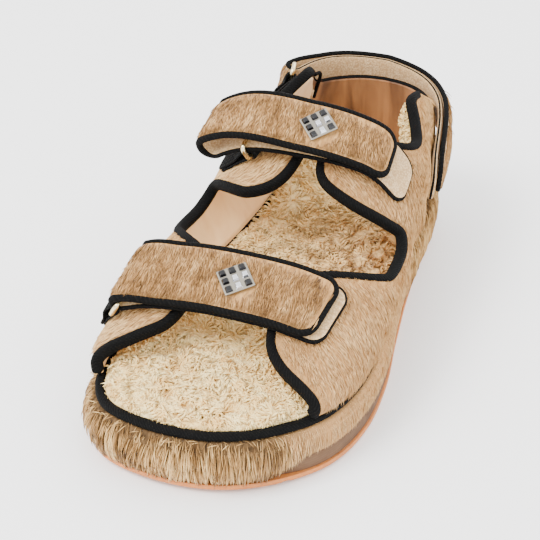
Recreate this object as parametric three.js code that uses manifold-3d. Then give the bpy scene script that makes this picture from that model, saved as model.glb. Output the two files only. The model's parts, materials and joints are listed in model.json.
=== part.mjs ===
// A left dad sandal: a thick platform sole wrapped in hair-on calf, a hollow two-quarter upper
// with three folded hook-and-loop straps on rings, and a shearling footbed.
// Millimetres, +Z up, toe towards -Y, heel towards +Y, the outer (lateral) side towards +X.
import * as THREE from 'three';
import { mergeVertices } from 'three/addons/utils/BufferGeometryUtils.js';
import Module from 'manifold-3d';

const wasm = await Module();
wasm.setup();

// Overall sizes of the last and the sole
const LENGTH = 252;
const BALL_WIDTH = 110;
const CROWN_HEIGHT = 76;
const PLATFORM_HEIGHT = 22.8;
const HEEL_RISE = 9;
const TOE_SPRING = 2;
const CLEARANCE = 0.3;

// Sole stack
const OUTSOLE_THICKNESS = 3;
const OUTSOLE_PROUD = 0.8;
const TREAD_DEPTH = 1.2;
const TREAD_GROOVE_WIDTH = 3;
const TREAD_GROOVE_COUNT = 10;
const BAND_HEIGHT = 8.5;
const BAND_INSET = 2.4;
const WRAP_THICKNESS = 4.6;
const WRAP_BULGE = 1.6;
const LOCK_COUNT = 58;
const LOCK_RELIEF = 0.9;
const LOCK_RAGGEDNESS = 1.6;
const FRINGE_LENGTH = 7;
const RIM_INSET = 2;
const RIM_BINDING_WIDTH = 3.8;
const RIM_BINDING_HEIGHT = 3.4;
const INSOLE_PILE = 6;
const INSOLE_CUP = 3;
const INSOLE_SHOULDER = 4;

// Upper
const WALL = 3;
const SIDE_BULGE = 12;
const BINDING_WIDTH = 4.2;
const BINDING_PROUD = 1.1;

// Straps, tabs and rings
const STRAP_THICKNESS = 2.8;
const TAB_THICKNESS = 1.3;
const STRAP_LIFT = 1;
const RING_WIRE = 2.2;
const RING_REACH = 6.5;
const STRAP_CORNER = 6;
const TAB_CORNER = 3;
const TAB_LIFT = 0.2;
const STONE_SIZE = 3.4;
const STONE_HEIGHT = 1.6;
const BADGE_PLATE = 1;
const BADGE_LIFT = 0.9;

const OUTLINE_STEPS = 32;
const TURN_SCALE = 240;
const CROSS_SCALE = 60;

// Half widths of the sole at thirteen cosine-spaced stations from heel to toe, as shares of BALL_WIDTH
const OUTLINE = [
  { lateral: 0, medial: 0 },
  { lateral: 0.177, medial: 0.177 },
  { lateral: 0.285, medial: 0.295 },
  { lateral: 0.330, medial: 0.345 },
  { lateral: 0.350, medial: 0.352 },
  { lateral: 0.386, medial: 0.348 },
  { lateral: 0.438, medial: 0.370 },
  { lateral: 0.495, medial: 0.412 },
  { lateral: 0.510, medial: 0.455 },
  { lateral: 0.456, medial: 0.477 },
  { lateral: 0.315, medial: 0.423 },
  { lateral: 0.136, medial: 0.309 },
  { lateral: -0.082, medial: 0.082 },
];

// Crown of the upper: share along from the heel, height as a share of CROWN_HEIGHT, squareness of each
// side's section, the crown's place across as a share of BALL_WIDTH (negative is medial), and how far each
// side swells out as a share of SIDE_BULGE
const CROWN = [
  { along: 0.10, height: 1.32, lateral: 2.5, medial: 2.5, place: 0, lateralSwell: 0, medialSwell: 0 },
  { along: 0.24, height: 1.28, lateral: 2.6, medial: 2.6, place: 0, lateralSwell: 0.55, medialSwell: 0.6 },
  { along: 0.34, height: 1.18, lateral: 2.8, medial: 2.9, place: -0.01, lateralSwell: 0.85, medialSwell: 0.95 },
  { along: 0.42, height: 1.05, lateral: 2.9, medial: 3.1, place: -0.02, lateralSwell: 0.75, medialSwell: 0.95 },
  { along: 0.50, height: 0.94, lateral: 2.8, medial: 3.2, place: -0.03, lateralSwell: 0.68, medialSwell: 0.95 },
  { along: 0.60, height: 0.86, lateral: 2.6, medial: 3.2, place: -0.05, lateralSwell: 0.56, medialSwell: 0.85 },
  { along: 0.70, height: 0.77, lateral: 2.6, medial: 3.2, place: -0.07, lateralSwell: 0.45, medialSwell: 0.62 },
  { along: 0.80, height: 0.64, lateral: 2.4, medial: 2.9, place: -0.08, lateralSwell: 0.3, medialSwell: 0.4 },
  { along: 0.88, height: 0.55, lateral: 2.2, medial: 2.6, place: -0.08, lateralSwell: 0.18, medialSwell: 0.24 },
  { along: 1.00, height: 0.47, lateral: 2.1, medial: 2.3, place: -0.08, lateralSwell: 0, medialSwell: 0 },
];
const HEEL_POLE = 0.13;
const TOE_POLE = 0.86;
const POLE_SOFTNESS = 0.05;

// Edges of the upper: share along from the heel, and place across (0 crown, 1 lateral rim, -1 medial rim)
const EDGES = {
  lateral: {
    collar: [[0, 0.68], [0.04, 0.68], [0.09, 0.66], [0.125, 0.58], [0.16, 0.49], [0.20, 0.46], [0.24, 0.54],
      [0.28, 0.58], [0.315, 0.53], [0.345, 0.42], [0.365, 0.28], [0.378, 0.12]],
    rearSlit: [[0.40, 0.055], [0.45, 0.055]],
    window: [[0.472, 0.10], [0.488, 0.21], [0.494, 0.35], [0.489, 0.52], [0.482, 0.66], [0.505, 0.71],
      [0.545, 0.70], [0.583, 0.66], [0.615, 0.55], [0.640, 0.43], [0.660, 0.33], [0.680, 0.25]],
    frontSlit: [[0.72, 0.21], [0.78, 0.22]],
    toe: [[0.822, 0.27], [0.845, 0.34], [0.862, 0.44], [0.872, 0.60], [0.877, 0.80], [0.880, 1.0]],
  },
  medial: {
    collar: [[0, -0.68], [0.04, -0.68], [0.09, -0.65], [0.12, -0.57], [0.143, -0.48], [0.185, -0.43],
      [0.225, -0.50], [0.262, -0.54], [0.295, -0.50], [0.320, -0.41], [0.345, -0.28], [0.37, -0.12]],
    rearSlit: [[0.40, -0.035], [0.475, -0.035]],
    window: [[0.507, -0.09], [0.520, -0.20], [0.510, -0.33], [0.490, -0.48], [0.468, -0.63], [0.465, -0.74],
      [0.500, -0.78], [0.550, -0.74], [0.595, -0.64], [0.625, -0.50], [0.648, -0.37], [0.675, -0.22]],
    frontSlit: [[0.72, -0.12], [0.78, -0.12]],
    toe: [[0.830, -0.17], [0.858, -0.28], [0.882, -0.43], [0.897, -0.62], [0.905, -0.82], [0.908, -1.0]],
  },
};
const WINDOW_CENTRE = [0.60, 0];
// The binding starts at this row of the collar, on top of the ankle lobe
const BOUND_FROM = 4;

// Straps that cross the foot: rear and front edges (shares along) at their lateral and medial ends; the
// places across of the anchored end, the free end, the fold and the tab's end; and the fold's size
const CROSSING_STRAPS = [
  {
    name: 'front', rearLateral: 0.682, frontLateral: 0.796, rearMedial: 0.700, frontMedial: 0.824,
    anchor: 0.47, free: 0.41, fold: -0.47, tabStart: -0.84, foldRadius: 3.1, foldLift: 5, crownLift: 0, rest: 0.3,
    steps: 12,
  },
  {
    name: 'instep', rearLateral: 0.357, frontLateral: 0.446, rearMedial: 0.367, frontMedial: 0.460,
    anchor: 0.56, free: 0.39, fold: -0.47, tabStart: -0.57, foldRadius: 5.4, foldLift: 9.6, crownLift: 3.8, rest: 0.9,
    ringShare: 0.8, steps: 12,
  },
];
// The strap round the heel: its ends and fold as turns, and places across of its top and bottom edges at
// the back, sloping down to the lateral end and up to the medial fold
const HEEL_STRAP = {
  name: 'heel', anchor: 0.365, free: 0.345, fold: -0.235, tabStart: -0.315,
  top: { medial: 0.55, back: 0.58, lateral: 0.76 },
  bottom: { medial: 0.82, back: 0.85, lateral: 0.93 },
  foldRadius: 3.1, foldLift: 4.2, crownLift: 0, rest: 0.15, steps: 20,
};
// How far each badge lies from its strap's free end towards the fold
const BADGE_SHARE = { front: 0.42, instep: 0.42 };

const centre = new THREE.Vector3();
const clamp01 = (value) => THREE.MathUtils.clamp(value, 0, 1);

// Catmull-Rom reading of a table column at a share of its length
function readTable(table, column, share) {
  const last = table.length - 1;
  const place = clamp01(share) * last;
  const i = Math.min(Math.floor(place), last - 1);
  const f = place - i;
  const at = (k) => {
    if (k < 0) return 2 * table[0][column] - table[1][column];
    if (k > last) return 2 * table[last][column] - table[last - 1][column];
    return table[k][column];
  };
  const [p0, p1, p2, p3] = [at(i - 1), at(i), at(i + 1), at(i + 2)];
  const bend = 2 * p0 - 5 * p1 + 4 * p2 - p3;
  return 0.5 * (2 * p1 + (p2 - p0) * f + bend * f * f + (3 * p1 - p0 - 3 * p2 + p3) * f * f * f);
}

// Smooth reading of the crown table by share along
function readCrown(column, along) {
  let i = 0;
  while (i < CROWN.length - 2 && along > CROWN[i + 1].along) i += 1;
  const slope = (k) => {
    const [before, after] = [CROWN[Math.max(0, k - 1)], CROWN[Math.min(CROWN.length - 1, k + 1)]];
    return (after[column] - before[column]) / (after.along - before.along);
  };
  const run = CROWN[i + 1].along - CROWN[i].along;
  const f = clamp01((along - CROWN[i].along) / run);
  const ease = f * f * (3 - 2 * f);
  return THREE.MathUtils.lerp(CROWN[i][column], CROWN[i + 1][column], ease)
    + run * f * (1 - f) * ((1 - f) * slope(i) - f * slope(i + 1));
}

const turnFrom = (along) => Math.acos(THREE.MathUtils.clamp(1 - 2 * along, -1, 1)) / Math.PI;
const alongFrom = (turn) => (1 - Math.cos(Math.PI * turn)) / 2;
const shareOf = (point) => -point.y / LENGTH;
const springAt = (along) => TOE_SPRING * clamp01((along - 0.72) / 0.28) ** 2;
const rimHeight = (along) => PLATFORM_HEIGHT + HEEL_RISE * clamp01(1 - along / 0.72) + springAt(along);

// A point of the sole's outline in plan, moved in by an inset. side is 1 lateral, -1 medial
function outlinePoint(turn, side, inset) {
  const column = side > 0 ? 'lateral' : 'medial';
  const h = 0.002;
  const spot = (t) => new THREE.Vector2(side * BALL_WIDTH * readTable(OUTLINE, column, t), -LENGTH * alongFrom(t));
  const here = spot(turn);
  if (turn === 0) return here.setY(-inset);
  if (turn === 1) return here.setY(inset - LENGTH);
  const run = spot(Math.min(1, turn + h)).sub(spot(Math.max(0, turn - h))).normalize();
  return here.add(new THREE.Vector2(run.y, -run.x).multiplyScalar(side * inset));
}

// The upper's outer surface. across runs from -1 (medial rim) over 0 (crown) to 1 (lateral rim)
function lastPoint(turn, across) {
  const along = alongFrom(turn);
  const side = across >= 0 ? 1 : -1;
  const foot = outlinePoint(turn, side, RIM_INSET);
  const soft = POLE_SOFTNESS ** 2;
  const fromHeel = (along + HEEL_POLE + Math.sqrt((along - HEEL_POLE) ** 2 + soft)) / 2;
  const pole = (fromHeel + TOE_POLE - Math.sqrt((fromHeel - TOE_POLE) ** 2 + soft)) / 2;
  const square = readCrown(side > 0 ? 'lateral' : 'medial', pole);
  const base = rimHeight(along) + RIM_BINDING_HEIGHT + CLEARANCE;
  const angle = (1 - Math.min(1, Math.abs(across))) * Math.PI / 2;
  const inwards = 1 - Math.cos(angle) ** (2 / square);
  const upwards = Math.sin(angle) ** (2 / square);
  const swell = SIDE_BULGE * readCrown(side > 0 ? 'lateralSwell' : 'medialSwell', pole)
    * Math.sin(Math.PI * upwards) * clamp01(along / HEEL_POLE) * clamp01((1 - along) / (1 - TOE_POLE));
  return new THREE.Vector3(
    THREE.MathUtils.lerp(foot.x, BALL_WIDTH * readCrown('place', pole), inwards) + side * swell,
    THREE.MathUtils.lerp(foot.y, -LENGTH * pole, inwards),
    THREE.MathUtils.lerp(base, CROWN_HEIGHT * readCrown('height', pole), upwards),
  );
}

// Outward direction of the last's surface
function lastNormal(turn, across) {
  const h = 0.004;
  const direction = (sideAcross) => {
    const sign = sideAcross >= 0 ? 1 : -1;
    const high = THREE.MathUtils.clamp(Math.abs(sideAcross), 0.02, 1 - h);
    const alongRun = lastPoint(Math.min(1, turn + h), sign * high).sub(lastPoint(Math.max(0, turn - h), sign * high));
    const acrossRun = lastPoint(turn, sign * (high + h)).sub(lastPoint(turn, sign * (high - h)));
    return acrossRun.cross(alongRun).multiplyScalar(-sign).normalize();
  };
  const normal = direction(across);
  if (turn === 0 || turn === 1) normal.add(direction(-across)).normalize();
  return normal;
}

const onLast = (along, across, lift) => {
  const turn = turnFrom(along);
  return lastPoint(turn, across).addScaledVector(lastNormal(turn, across), lift);
};

// Collects triangles and closes them into one outward-facing geometry
class Skin {
  constructor() {
    this.corners = [];
  }

  triangle(a, b, c) {
    this.corners.push(a.x, a.y, a.z, b.x, b.y, b.z, c.x, c.y, c.z);
  }

  quad(a, b, c, d) {
    this.triangle(a, b, c);
    this.triangle(a, c, d);
  }

  grid(rows, closed) {
    const count = rows[0].length;
    for (let i = 0; i < rows.length - 1; i += 1) {
      for (let j = 0; j < (closed ? count : count - 1); j += 1) {
        const k = (j + 1) % count;
        this.quad(rows[i][j], rows[i + 1][j], rows[i + 1][k], rows[i][k]);
      }
    }
  }

  fan(loop, reversed) {
    const middle = loop.reduce((sum, p) => sum.add(p), new THREE.Vector3()).divideScalar(loop.length);
    loop.forEach((p, i) => {
      const next = loop[(i + 1) % loop.length];
      if (reversed) this.triangle(middle, next, p);
      else this.triangle(middle, p, next);
    });
  }

  solid() {
    let volume = 0;
    const c = this.corners;
    for (let i = 0; i < c.length; i += 9) {
      volume += c[i] * (c[i + 4] * c[i + 8] - c[i + 5] * c[i + 7])
        - c[i + 1] * (c[i + 3] * c[i + 8] - c[i + 5] * c[i + 6])
        + c[i + 2] * (c[i + 3] * c[i + 7] - c[i + 4] * c[i + 6]);
    }
    const geometry = new THREE.BufferGeometry();
    geometry.setAttribute('position', new THREE.Float32BufferAttribute(c, 3));
    return solidFrom(geometry, volume < 0);
  }
}

// A manifold solid from a closed three.js geometry
function solidFrom(geometry, flipped = false) {
  const bare = geometry.clone();
  bare.deleteAttribute('normal');
  bare.deleteAttribute('uv');
  const merged = mergeVertices(bare, 1e-3);
  const index = Array.from(merged.index.array);
  const kept = [];
  for (let i = 0; i < index.length; i += 3) {
    const [a, b, c] = [index[i], index[i + 1], index[i + 2]];
    if (a !== b && b !== c && a !== c) kept.push(...(flipped ? [a, c, b] : [a, b, c]));
  }
  return new wasm.Manifold(new wasm.Mesh({
    numProp: 3,
    vertProperties: new Float32Array(merged.attributes.position.array),
    triVerts: new Uint32Array(kept),
  }));
}

function geometryFrom(solid) {
  const mesh = solid.getMesh();
  const geometry = new THREE.BufferGeometry();
  geometry.setAttribute('position', new THREE.BufferAttribute(mesh.vertProperties, 3));
  geometry.setIndex(new THREE.BufferAttribute(mesh.triVerts, 1));
  return geometry;
}

// Sweeps a closed section (in side and up offsets) along frames, as an open bar or a closed ring
function sweep(frames, section, closed) {
  const rows = frames.map(({ place, side, up }, i) => section(i / (frames.length - 1)).map(([s, u]) => (
    place.clone().addScaledVector(side, s).addScaledVector(up, u))));
  const skin = new Skin();
  if (closed) rows.push(rows[0]);
  skin.grid(rows, true);
  if (!closed) {
    skin.fan(rows[0], false);
    skin.fan(rows[rows.length - 1], true);
  }
  return skin.solid();
}

// A six-cornered section: flat faces up and down, and a ridge on each side
function ridgedSection(width, height, trim) {
  const w = width / 2;
  const h = height / 2;
  return [[w, 0], [w - trim, h], [trim - w, h], [-w, 0], [trim - w, -h], [w - trim, -h]];
}

// The closed ring of outline points at one inset: lateral side from heel to toe, medial side back
function outlineRing(inset, steps) {
  const ring = [];
  for (let i = 0; i <= steps; i += 1) ring.push(outlinePoint(i / steps, 1, inset));
  for (let i = steps - 1; i > 0; i -= 1) ring.push(outlinePoint(i / steps, -1, inset));
  return ring;
}

// A slab between side rows given from bottom to top, with its two faces bridged across the sole
function slab(rows, faceHeight = () => 0, columns = 2) {
  const skin = new Skin();
  const rings = rows.map(({ inset, height }) => outlineRing(inset, OUTLINE_STEPS)
    .map((p) => new THREE.Vector3(p.x, p.y, height(shareOf(p)))));
  skin.grid(rings, true);
  const bridge = (ring, reversed, lift) => {
    const count = ring.length;
    const line = (i) => Array.from({ length: columns + 1 }, (_, k) => {
      const lateral = ring[i];
      const medial = ring[(count - i) % count];
      const p = lateral.clone().lerp(medial, k / columns);
      if (k > 0 && k < columns) p.z += lift(shareOf(p));
      return p;
    });
    for (let i = 0; i < OUTLINE_STEPS; i += 1) {
      const near = line(i);
      const far = line(i + 1);
      for (let k = 0; k < columns; k += 1) {
        if (reversed) skin.quad(near[k], near[k + 1], far[k + 1], far[k]);
        else skin.quad(near[k], far[k], far[k + 1], near[k + 1]);
      }
    }
  };
  bridge(rings[0], false, () => 0);
  bridge(rings[rings.length - 1], true, faceHeight);
  return skin.solid();
}

function buildOutsole() {
  const sole = slab([
    { inset: 1.2, height: (a) => springAt(a) },
    { inset: -OUTSOLE_PROUD, height: (a) => springAt(a) + 1 },
    { inset: -OUTSOLE_PROUD, height: (a) => springAt(a) + OUTSOLE_THICKNESS },
  ]);
  const tread = Array.from({ length: TREAD_GROOVE_COUNT }, (_, i) => {
    const along = 0.06 + 0.88 * i / (TREAD_GROOVE_COUNT - 1);
    const groove = new THREE.BoxGeometry(0.72 * BALL_WIDTH, TREAD_GROOVE_WIDTH, 2 * TREAD_DEPTH);
    groove.rotateZ(0.12);
    groove.translate(0, -LENGTH * along, springAt(along));
    return groove;
  }).filter((_, i) => i !== 4 && i !== 5);
  return tread.reduce((rest, groove) => rest.subtract(solidFrom(groove)), sole);
}

const bandTop = (a) => springAt(a) + OUTSOLE_THICKNESS + BAND_HEIGHT;
const coreInset = WRAP_THICKNESS + CLEARANCE;

function buildMidsole() {
  const bottom = (a) => springAt(a) + OUTSOLE_THICKNESS + CLEARANCE;
  return slab([
    { inset: BAND_INSET, height: bottom },
    { inset: BAND_INSET, height: bandTop },
    { inset: coreInset, height: bandTop },
    { inset: coreInset, height: (a) => rimHeight(a) - CLEARANCE },
  ]);
}

// Share of the fringe's full length along the edge: long round the toe and medial side, short where
// the smooth band shows at the lateral forefoot
function fringeShare(along, side) {
  const lateralBare = side > 0 ? THREE.MathUtils.smoothstep(along, 0.30, 0.45)
    * (1 - THREE.MathUtils.smoothstep(along, 0.86, 0.97)) : 0;
  return 1 - 0.9 * lateralBare;
}

function buildWrap() {
  const columns = 2 * LOCK_COUNT;
  const rows = [];
  for (let i = 0; i < columns; i += 1) {
    const share = i / columns;
    const side = share < 0.5 ? 1 : -1;
    const turn = side > 0 ? share * 2 : 2 - share * 2;
    const along = alongFrom(turn);
    const ridge = i % 2 === 0 ? LOCK_RELIEF : 0;
    const ragged = i % 2 === 0 ? 0 : LOCK_RAGGEDNESS * (0.5 + 0.5 * Math.sin(i * 2.3));
    const top = rimHeight(along) - CLEARANCE;
    const step = bandTop(along) + CLEARANCE;
    const low = step - CLEARANCE - (FRINGE_LENGTH - ragged) * fringeShare(along, side);
    const middle = (top + step) / 2;
    const section = [
      [RIM_INSET - 0.6, top], [0.2, top - 2.5], [-WRAP_BULGE - ridge * 0.5, middle + 1], [-WRAP_BULGE - ridge, step],
      [-0.2 - ridge, low], [BAND_INSET - CLEARANCE, low + 0.6], [BAND_INSET - CLEARANCE, step],
      [WRAP_THICKNESS, step], [WRAP_THICKNESS, top],
    ];
    rows.push(section.map(([inset, z]) => {
      const p = outlinePoint(turn, side, inset);
      return new THREE.Vector3(p.x, p.y, z);
    }));
  }
  const skin = new Skin();
  rows.push(rows[0]);
  skin.grid(rows, true);
  return skin.solid();
}

const rimInside = RIM_INSET - 0.4 + RIM_BINDING_WIDTH;

function buildRimBinding() {
  const ring = outlineRing(RIM_INSET - 0.4 + RIM_BINDING_WIDTH / 2, OUTLINE_STEPS);
  const frames = ring.map((p, i) => {
    const next = ring[(i + 1) % ring.length];
    const before = ring[(i + ring.length - 1) % ring.length];
    const run = next.clone().sub(before).normalize();
    return {
      place: new THREE.Vector3(p.x, p.y, rimHeight(shareOf(p)) + RIM_BINDING_HEIGHT / 2),
      side: new THREE.Vector3(run.y, -run.x, 0),
      up: new THREE.Vector3(0, 0, 1),
    };
  });
  return sweep(frames, () => ridgedSection(RIM_BINDING_WIDTH, RIM_BINDING_HEIGHT, 0.7), true);
}

function buildInsole() {
  const inset = rimInside + CLEARANCE;
  return slab([
    { inset, height: (a) => rimHeight(a) },
    { inset, height: (a) => rimHeight(a) + RIM_BINDING_HEIGHT - 1 },
    { inset: inset + INSOLE_SHOULDER, height: (a) => rimHeight(a) + INSOLE_PILE },
  ], (a) => -INSOLE_CUP * (1 - THREE.MathUtils.smoothstep(a, 0.3, 0.6)), 4);
}

// A smooth run of places on the last through chosen rows of an edge
function edgeRun(rows, count) {
  const curve = new THREE.CatmullRomCurve3(
    rows.map(([along, across]) => new THREE.Vector3(turnFrom(along) * TURN_SCALE, across * CROSS_SCALE, 0)),
    false,
    'centripetal',
  );
  return curve.getSpacedPoints(count).map((p) => [alongFrom(clamp01(p.x / TURN_SCALE)), p.y / CROSS_SCALE]);
}

// The hollow shell of one wall thickness, from the medial front edge round the heel to the lateral one
function buildShell() {
  const columns = 7;
  const samples = 30;
  const lines = ['medial', 'lateral'].map((name) => {
    const { collar, rearSlit, window, frontSlit, toe } = EDGES[name];
    const ends = [window[0], window[window.length - 1]];
    return edgeRun([...collar, ...rearSlit, ...ends, ...frontSlit, ...toe], samples);
  });
  const stations = [...lines[0].slice(1).reverse(), ...lines[1]];
  const layer = (lift) => stations.map(([along, edge]) => Array.from({ length: columns + 1 }, (_, k) => {
    const rimSide = edge < 0 ? -1 : 1;
    const across = THREE.MathUtils.lerp(rimSide, edge, (k / columns) ** 1.5);
    const p = onLast(along, across, lift);
    if (k === 0) p.z = rimHeight(along) + RIM_BINDING_HEIGHT + CLEARANCE;
    return p;
  }));
  const outer = layer(0);
  const inner = layer(-WALL);
  const skin = new Skin();
  skin.grid(outer.map((row, i) => [...row, ...inner[i].slice().reverse()]), true);
  skin.fan([...outer[0], ...inner[0].slice().reverse()], false);
  const last = outer.length - 1;
  skin.fan([...outer[last], ...inner[last].slice().reverse()], true);
  return skin.solid();
}

// A plug through the wall whose rim is a closed loop of places, in rings round its centre
function buildPlug(loop, middle, reach) {
  const rings = [1, 0.8, 0.55, 0.3].map((share) => loop.map(([along, across]) => [
    THREE.MathUtils.lerp(middle[0], along, share), THREE.MathUtils.lerp(middle[1], across, share)]));
  const skin = new Skin();
  const lifted = (lift) => rings.map((ring) => ring.map(([along, across]) => onLast(along, across, lift)));
  const over = lifted(reach);
  const under = lifted(-reach);
  const rows = [...over.slice().reverse(), ...under];
  skin.grid(rows, true);
  skin.fan(rows[0], false);
  skin.fan(rows[rows.length - 1], true);
  return skin.solid();
}

// The edge binding of one side: a rounded strip that wraps the wall's edge from the toe to the collar
function bindingFrames(name, grow) {
  const { collar, rearSlit, window, frontSlit, toe } = EDGES[name];
  const route = [...collar.slice(BOUND_FROM), ...rearSlit, ...window, ...frontSlit, ...toe];
  const places = edgeRun(route, 52);
  const points = places.map(([along, across]) => onLast(along, across, -WALL / 2));
  return points.map((place, i) => {
    const run = points[Math.min(points.length - 1, i + 1)].clone().sub(points[Math.max(0, i - 1)]).normalize();
    const up = lastNormal(turnFrom(places[i][0]), places[i][1]);
    const side = up.clone().cross(run).normalize();
    return { place, side, up: run.clone().cross(side).normalize(), grow };
  });
}

function buildBinding(name, grow) {
  const width = BINDING_WIDTH + 2 * grow;
  const height = WALL + 2 * BINDING_PROUD + 2 * grow;
  return sweep(bindingFrames(name, grow), () => ridgedSection(width, height, 1), false);
}

// The frame of a strip at one station, from the places of its two edges on the last
function stripStation([[rearAlong, rearAcross], [frontAlong, frontAcross]]) {
  const rear = onLast(rearAlong, rearAcross, 0);
  const front = onLast(frontAlong, frontAcross, 0);
  const along = (rearAlong + frontAlong) / 2;
  const across = (rearAcross + frontAcross) / 2;
  const width = front.clone().sub(rear);
  const up = lastNormal(turnFrom(along), across);
  up.addScaledVector(width, -up.dot(width) / width.lengthSq()).normalize();
  const middle = rear.clone().add(front).multiplyScalar(0.5);
  const bow = onLast(along, across, 0).sub(middle).dot(up);
  middle.addScaledVector(up, Math.max(0, bow));
  return { middle, up, reach: width.length() / 2, wide: width.normalize() };
}

// A strip folded back on itself. lay(t) gives the places of its two edges; the strip runs from start to
// fold at the lift given by rise(share), turns at the given radius and comes back to end, where the back
// layer settles on the under one within the share rest of its length. The corners of the ends are rounded
function foldedStrip({ lay, start, fold, end, rise, radius, rest, thickness, steps, corner, turning }) {
  const half = thickness / 2;
  const rows = [];
  const push = (place, wide, up, reach) => {
    [[-reach, half], [reach, half], [reach, -half], [-reach, -half]].forEach(([out, lift], i) => {
      if (i === 0) rows.push([]);
      rows[rows.length - 1].push(place.clone().addScaledVector(wide, out).addScaledVector(up, lift));
    });
  };
  const layer = (from, lift, facing) => {
    const span = stripStation(lay(from)).middle.distanceTo(stripStation(lay(fold)).middle);
    const tip = [0, 0.15, 0.45].map((share) => share * corner / span);
    const body = Array.from({ length: steps }, (_, i) => corner / span + (1 - corner / span) * i / steps);
    return [...tip, ...body].map((share) => {
      const t = THREE.MathUtils.lerp(from, fold, share);
      const at = stripStation(lay(t));
      const left = Math.max(0, corner - share * span - 0.1 * corner);
      const reach = at.reach - corner + Math.sqrt(corner * corner - left * left);
      return () => push(at.middle.addScaledVector(at.up, rise((start - t) / (start - fold)) + lift(share * span, span)),
        at.wide, at.up.clone().multiplyScalar(facing), reach);
    });
  };
  layer(start, () => 0, -1).forEach((place) => place());
  const bend = turning ?? foldFrame(lay, start, fold, rise(1) + radius);
  const arc = 6;
  for (let i = 0; i <= arc; i += 1) {
    const angle = Math.PI * i / arc;
    const radial = bend.outwards.clone().multiplyScalar(Math.sin(angle)).addScaledVector(bend.up, -Math.cos(angle));
    push(bend.pin.clone().addScaledVector(radial, radius), bend.wide, radial, bend.reach);
  }
  const settle = (distance, span) => THREE.MathUtils.lerp(
    2 * radius,
    thickness + CLEARANCE,
    THREE.MathUtils.smoothstep(span - distance, 0, rest * span),
  );
  layer(end, settle, 1).reverse().forEach((place) => place());
  const skin = new Skin();
  skin.grid(rows, true);
  skin.fan(rows[0], false);
  skin.fan(rows[rows.length - 1], true);
  return skin.solid();
}

// Where a strip turns: the axis of its bend, and the directions outwards, up and along the axis
function foldFrame(lay, start, fold, lift) {
  const at = stripStation(lay(fold));
  const outwards = at.middle.clone().sub(stripStation(lay(THREE.MathUtils.lerp(fold, start, 0.02))).middle);
  outwards.addScaledVector(at.up, -outwards.dot(at.up)).addScaledVector(at.wide, -outwards.dot(at.wide)).normalize();
  return { pin: at.middle.clone().addScaledVector(at.up, lift), outwards, up: at.up, wide: at.wide, reach: at.reach };
}

// A rounded rectangular ring of round wire: its two long bars lie at near and far, along wide
function buildRing(near, far, wide, reach) {
  const wire = RING_WIRE / 2;
  const outwards = far.clone().sub(near);
  const gap = outwards.length();
  outwards.normalize();
  const up = wide.clone().cross(outwards).normalize();
  const halfLong = reach + wire + 2 * CLEARANCE;
  const round = Math.min(2, 0.4 * gap);
  const path = [];
  [[1, 1], [-1, 1], [-1, -1], [1, -1]].forEach(([longSign, gapSign], index) => {
    const middleLong = longSign * (halfLong - round);
    const middleGap = gap / 2 + gapSign * (gap / 2 - round);
    for (let i = 0; i <= 3; i += 1) {
      const angle = (index + i / 3) * Math.PI / 2;
      path.push([middleLong + round * Math.cos(angle), middleGap + round * Math.sin(angle)]);
    }
  });
  const points = path.map(([long, out]) => near.clone().addScaledVector(wide, long).addScaledVector(outwards, out));
  const frames = points.map((place, i) => {
    const run = points[(i + 1) % points.length].clone().sub(points[(i + points.length - 1) % points.length]);
    return { place, side: run.cross(up).normalize(), up };
  });
  const sides = 6;
  const section = Array.from({ length: sides }, (_, k) => [
    wire * Math.cos(2 * Math.PI * k / sides), wire * Math.sin(2 * Math.PI * k / sides)]);
  return sweep(frames, () => section, true);
}

// A lozenge of square-cut stones on a thin plate, lying on a strap's top layer
function buildBadge({ middle, up, wide }) {
  const right = wide.clone().cross(up).normalize();
  const basis = new THREE.Matrix4().makeBasis(right, wide, up).setPosition(middle);
  const rows = [1, 2, 3, 2, 1];
  const pitch = 1.25 * STONE_SIZE;
  const reach = (rows.length / 2) * pitch / Math.SQRT2 + STONE_SIZE / 2;
  const plate = new THREE.CylinderGeometry(reach, reach, BADGE_PLATE, 4);
  plate.rotateX(Math.PI / 2);
  plate.translate(0, 0, BADGE_PLATE / 2);
  let badge = solidFrom(plate.applyMatrix4(basis));
  rows.forEach((count, r) => {
    for (let k = 0; k < count; k += 1) {
      const stone = new THREE.CylinderGeometry(0.42 * STONE_SIZE, 0.68 * STONE_SIZE, STONE_HEIGHT, 4);
      stone.rotateX(Math.PI / 2);
      stone.translate(
        (k - (count - 1) / 2) * pitch * Math.SQRT2,
        (r - (rows.length - 1) / 2) * pitch / Math.SQRT2,
        BADGE_PLATE + STONE_HEIGHT / 2 - CLEARANCE,
      );
      badge = badge.add(solidFrom(stone.applyMatrix4(basis)));
    }
  });
  return badge;
}

const pieces = [];
const addPiece = (name, solid, colour, roughness, metalness = 0) => {
  pieces.push({ name, solid, colour, roughness, metalness });
};

addPiece('outsole', buildOutsole(), 0xd9a06c, 0.8);
addPiece('midsole', buildMidsole(), 0x85705e, 0.7);
addPiece('platform_wrap', buildWrap(), 0xb08c62, 0.95);
addPiece('rim_binding', buildRimBinding(), 0x111111, 0.9);
addPiece('insole', buildInsole(), 0xe6d2a8, 1);

const windowLoop = [
  ...edgeRun(EDGES.lateral.window, 18),
  ...edgeRun(EDGES.medial.window.slice().reverse(), 18),
];
const shell = buildShell().subtract(buildPlug(windowLoop, WINDOW_CENTRE, 2.5 * WALL));
const bindings = ['lateral', 'medial'];
const upper = bindings.reduce((rest, name) => rest.subtract(buildBinding(name, CLEARANCE)), shell);
addPiece('upper', upper, 0xc4a078, 0.9);
bindings.forEach((name) => addPiece(`${name}_binding`, buildBinding(name, 0), 0x111111, 0.9));

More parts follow.
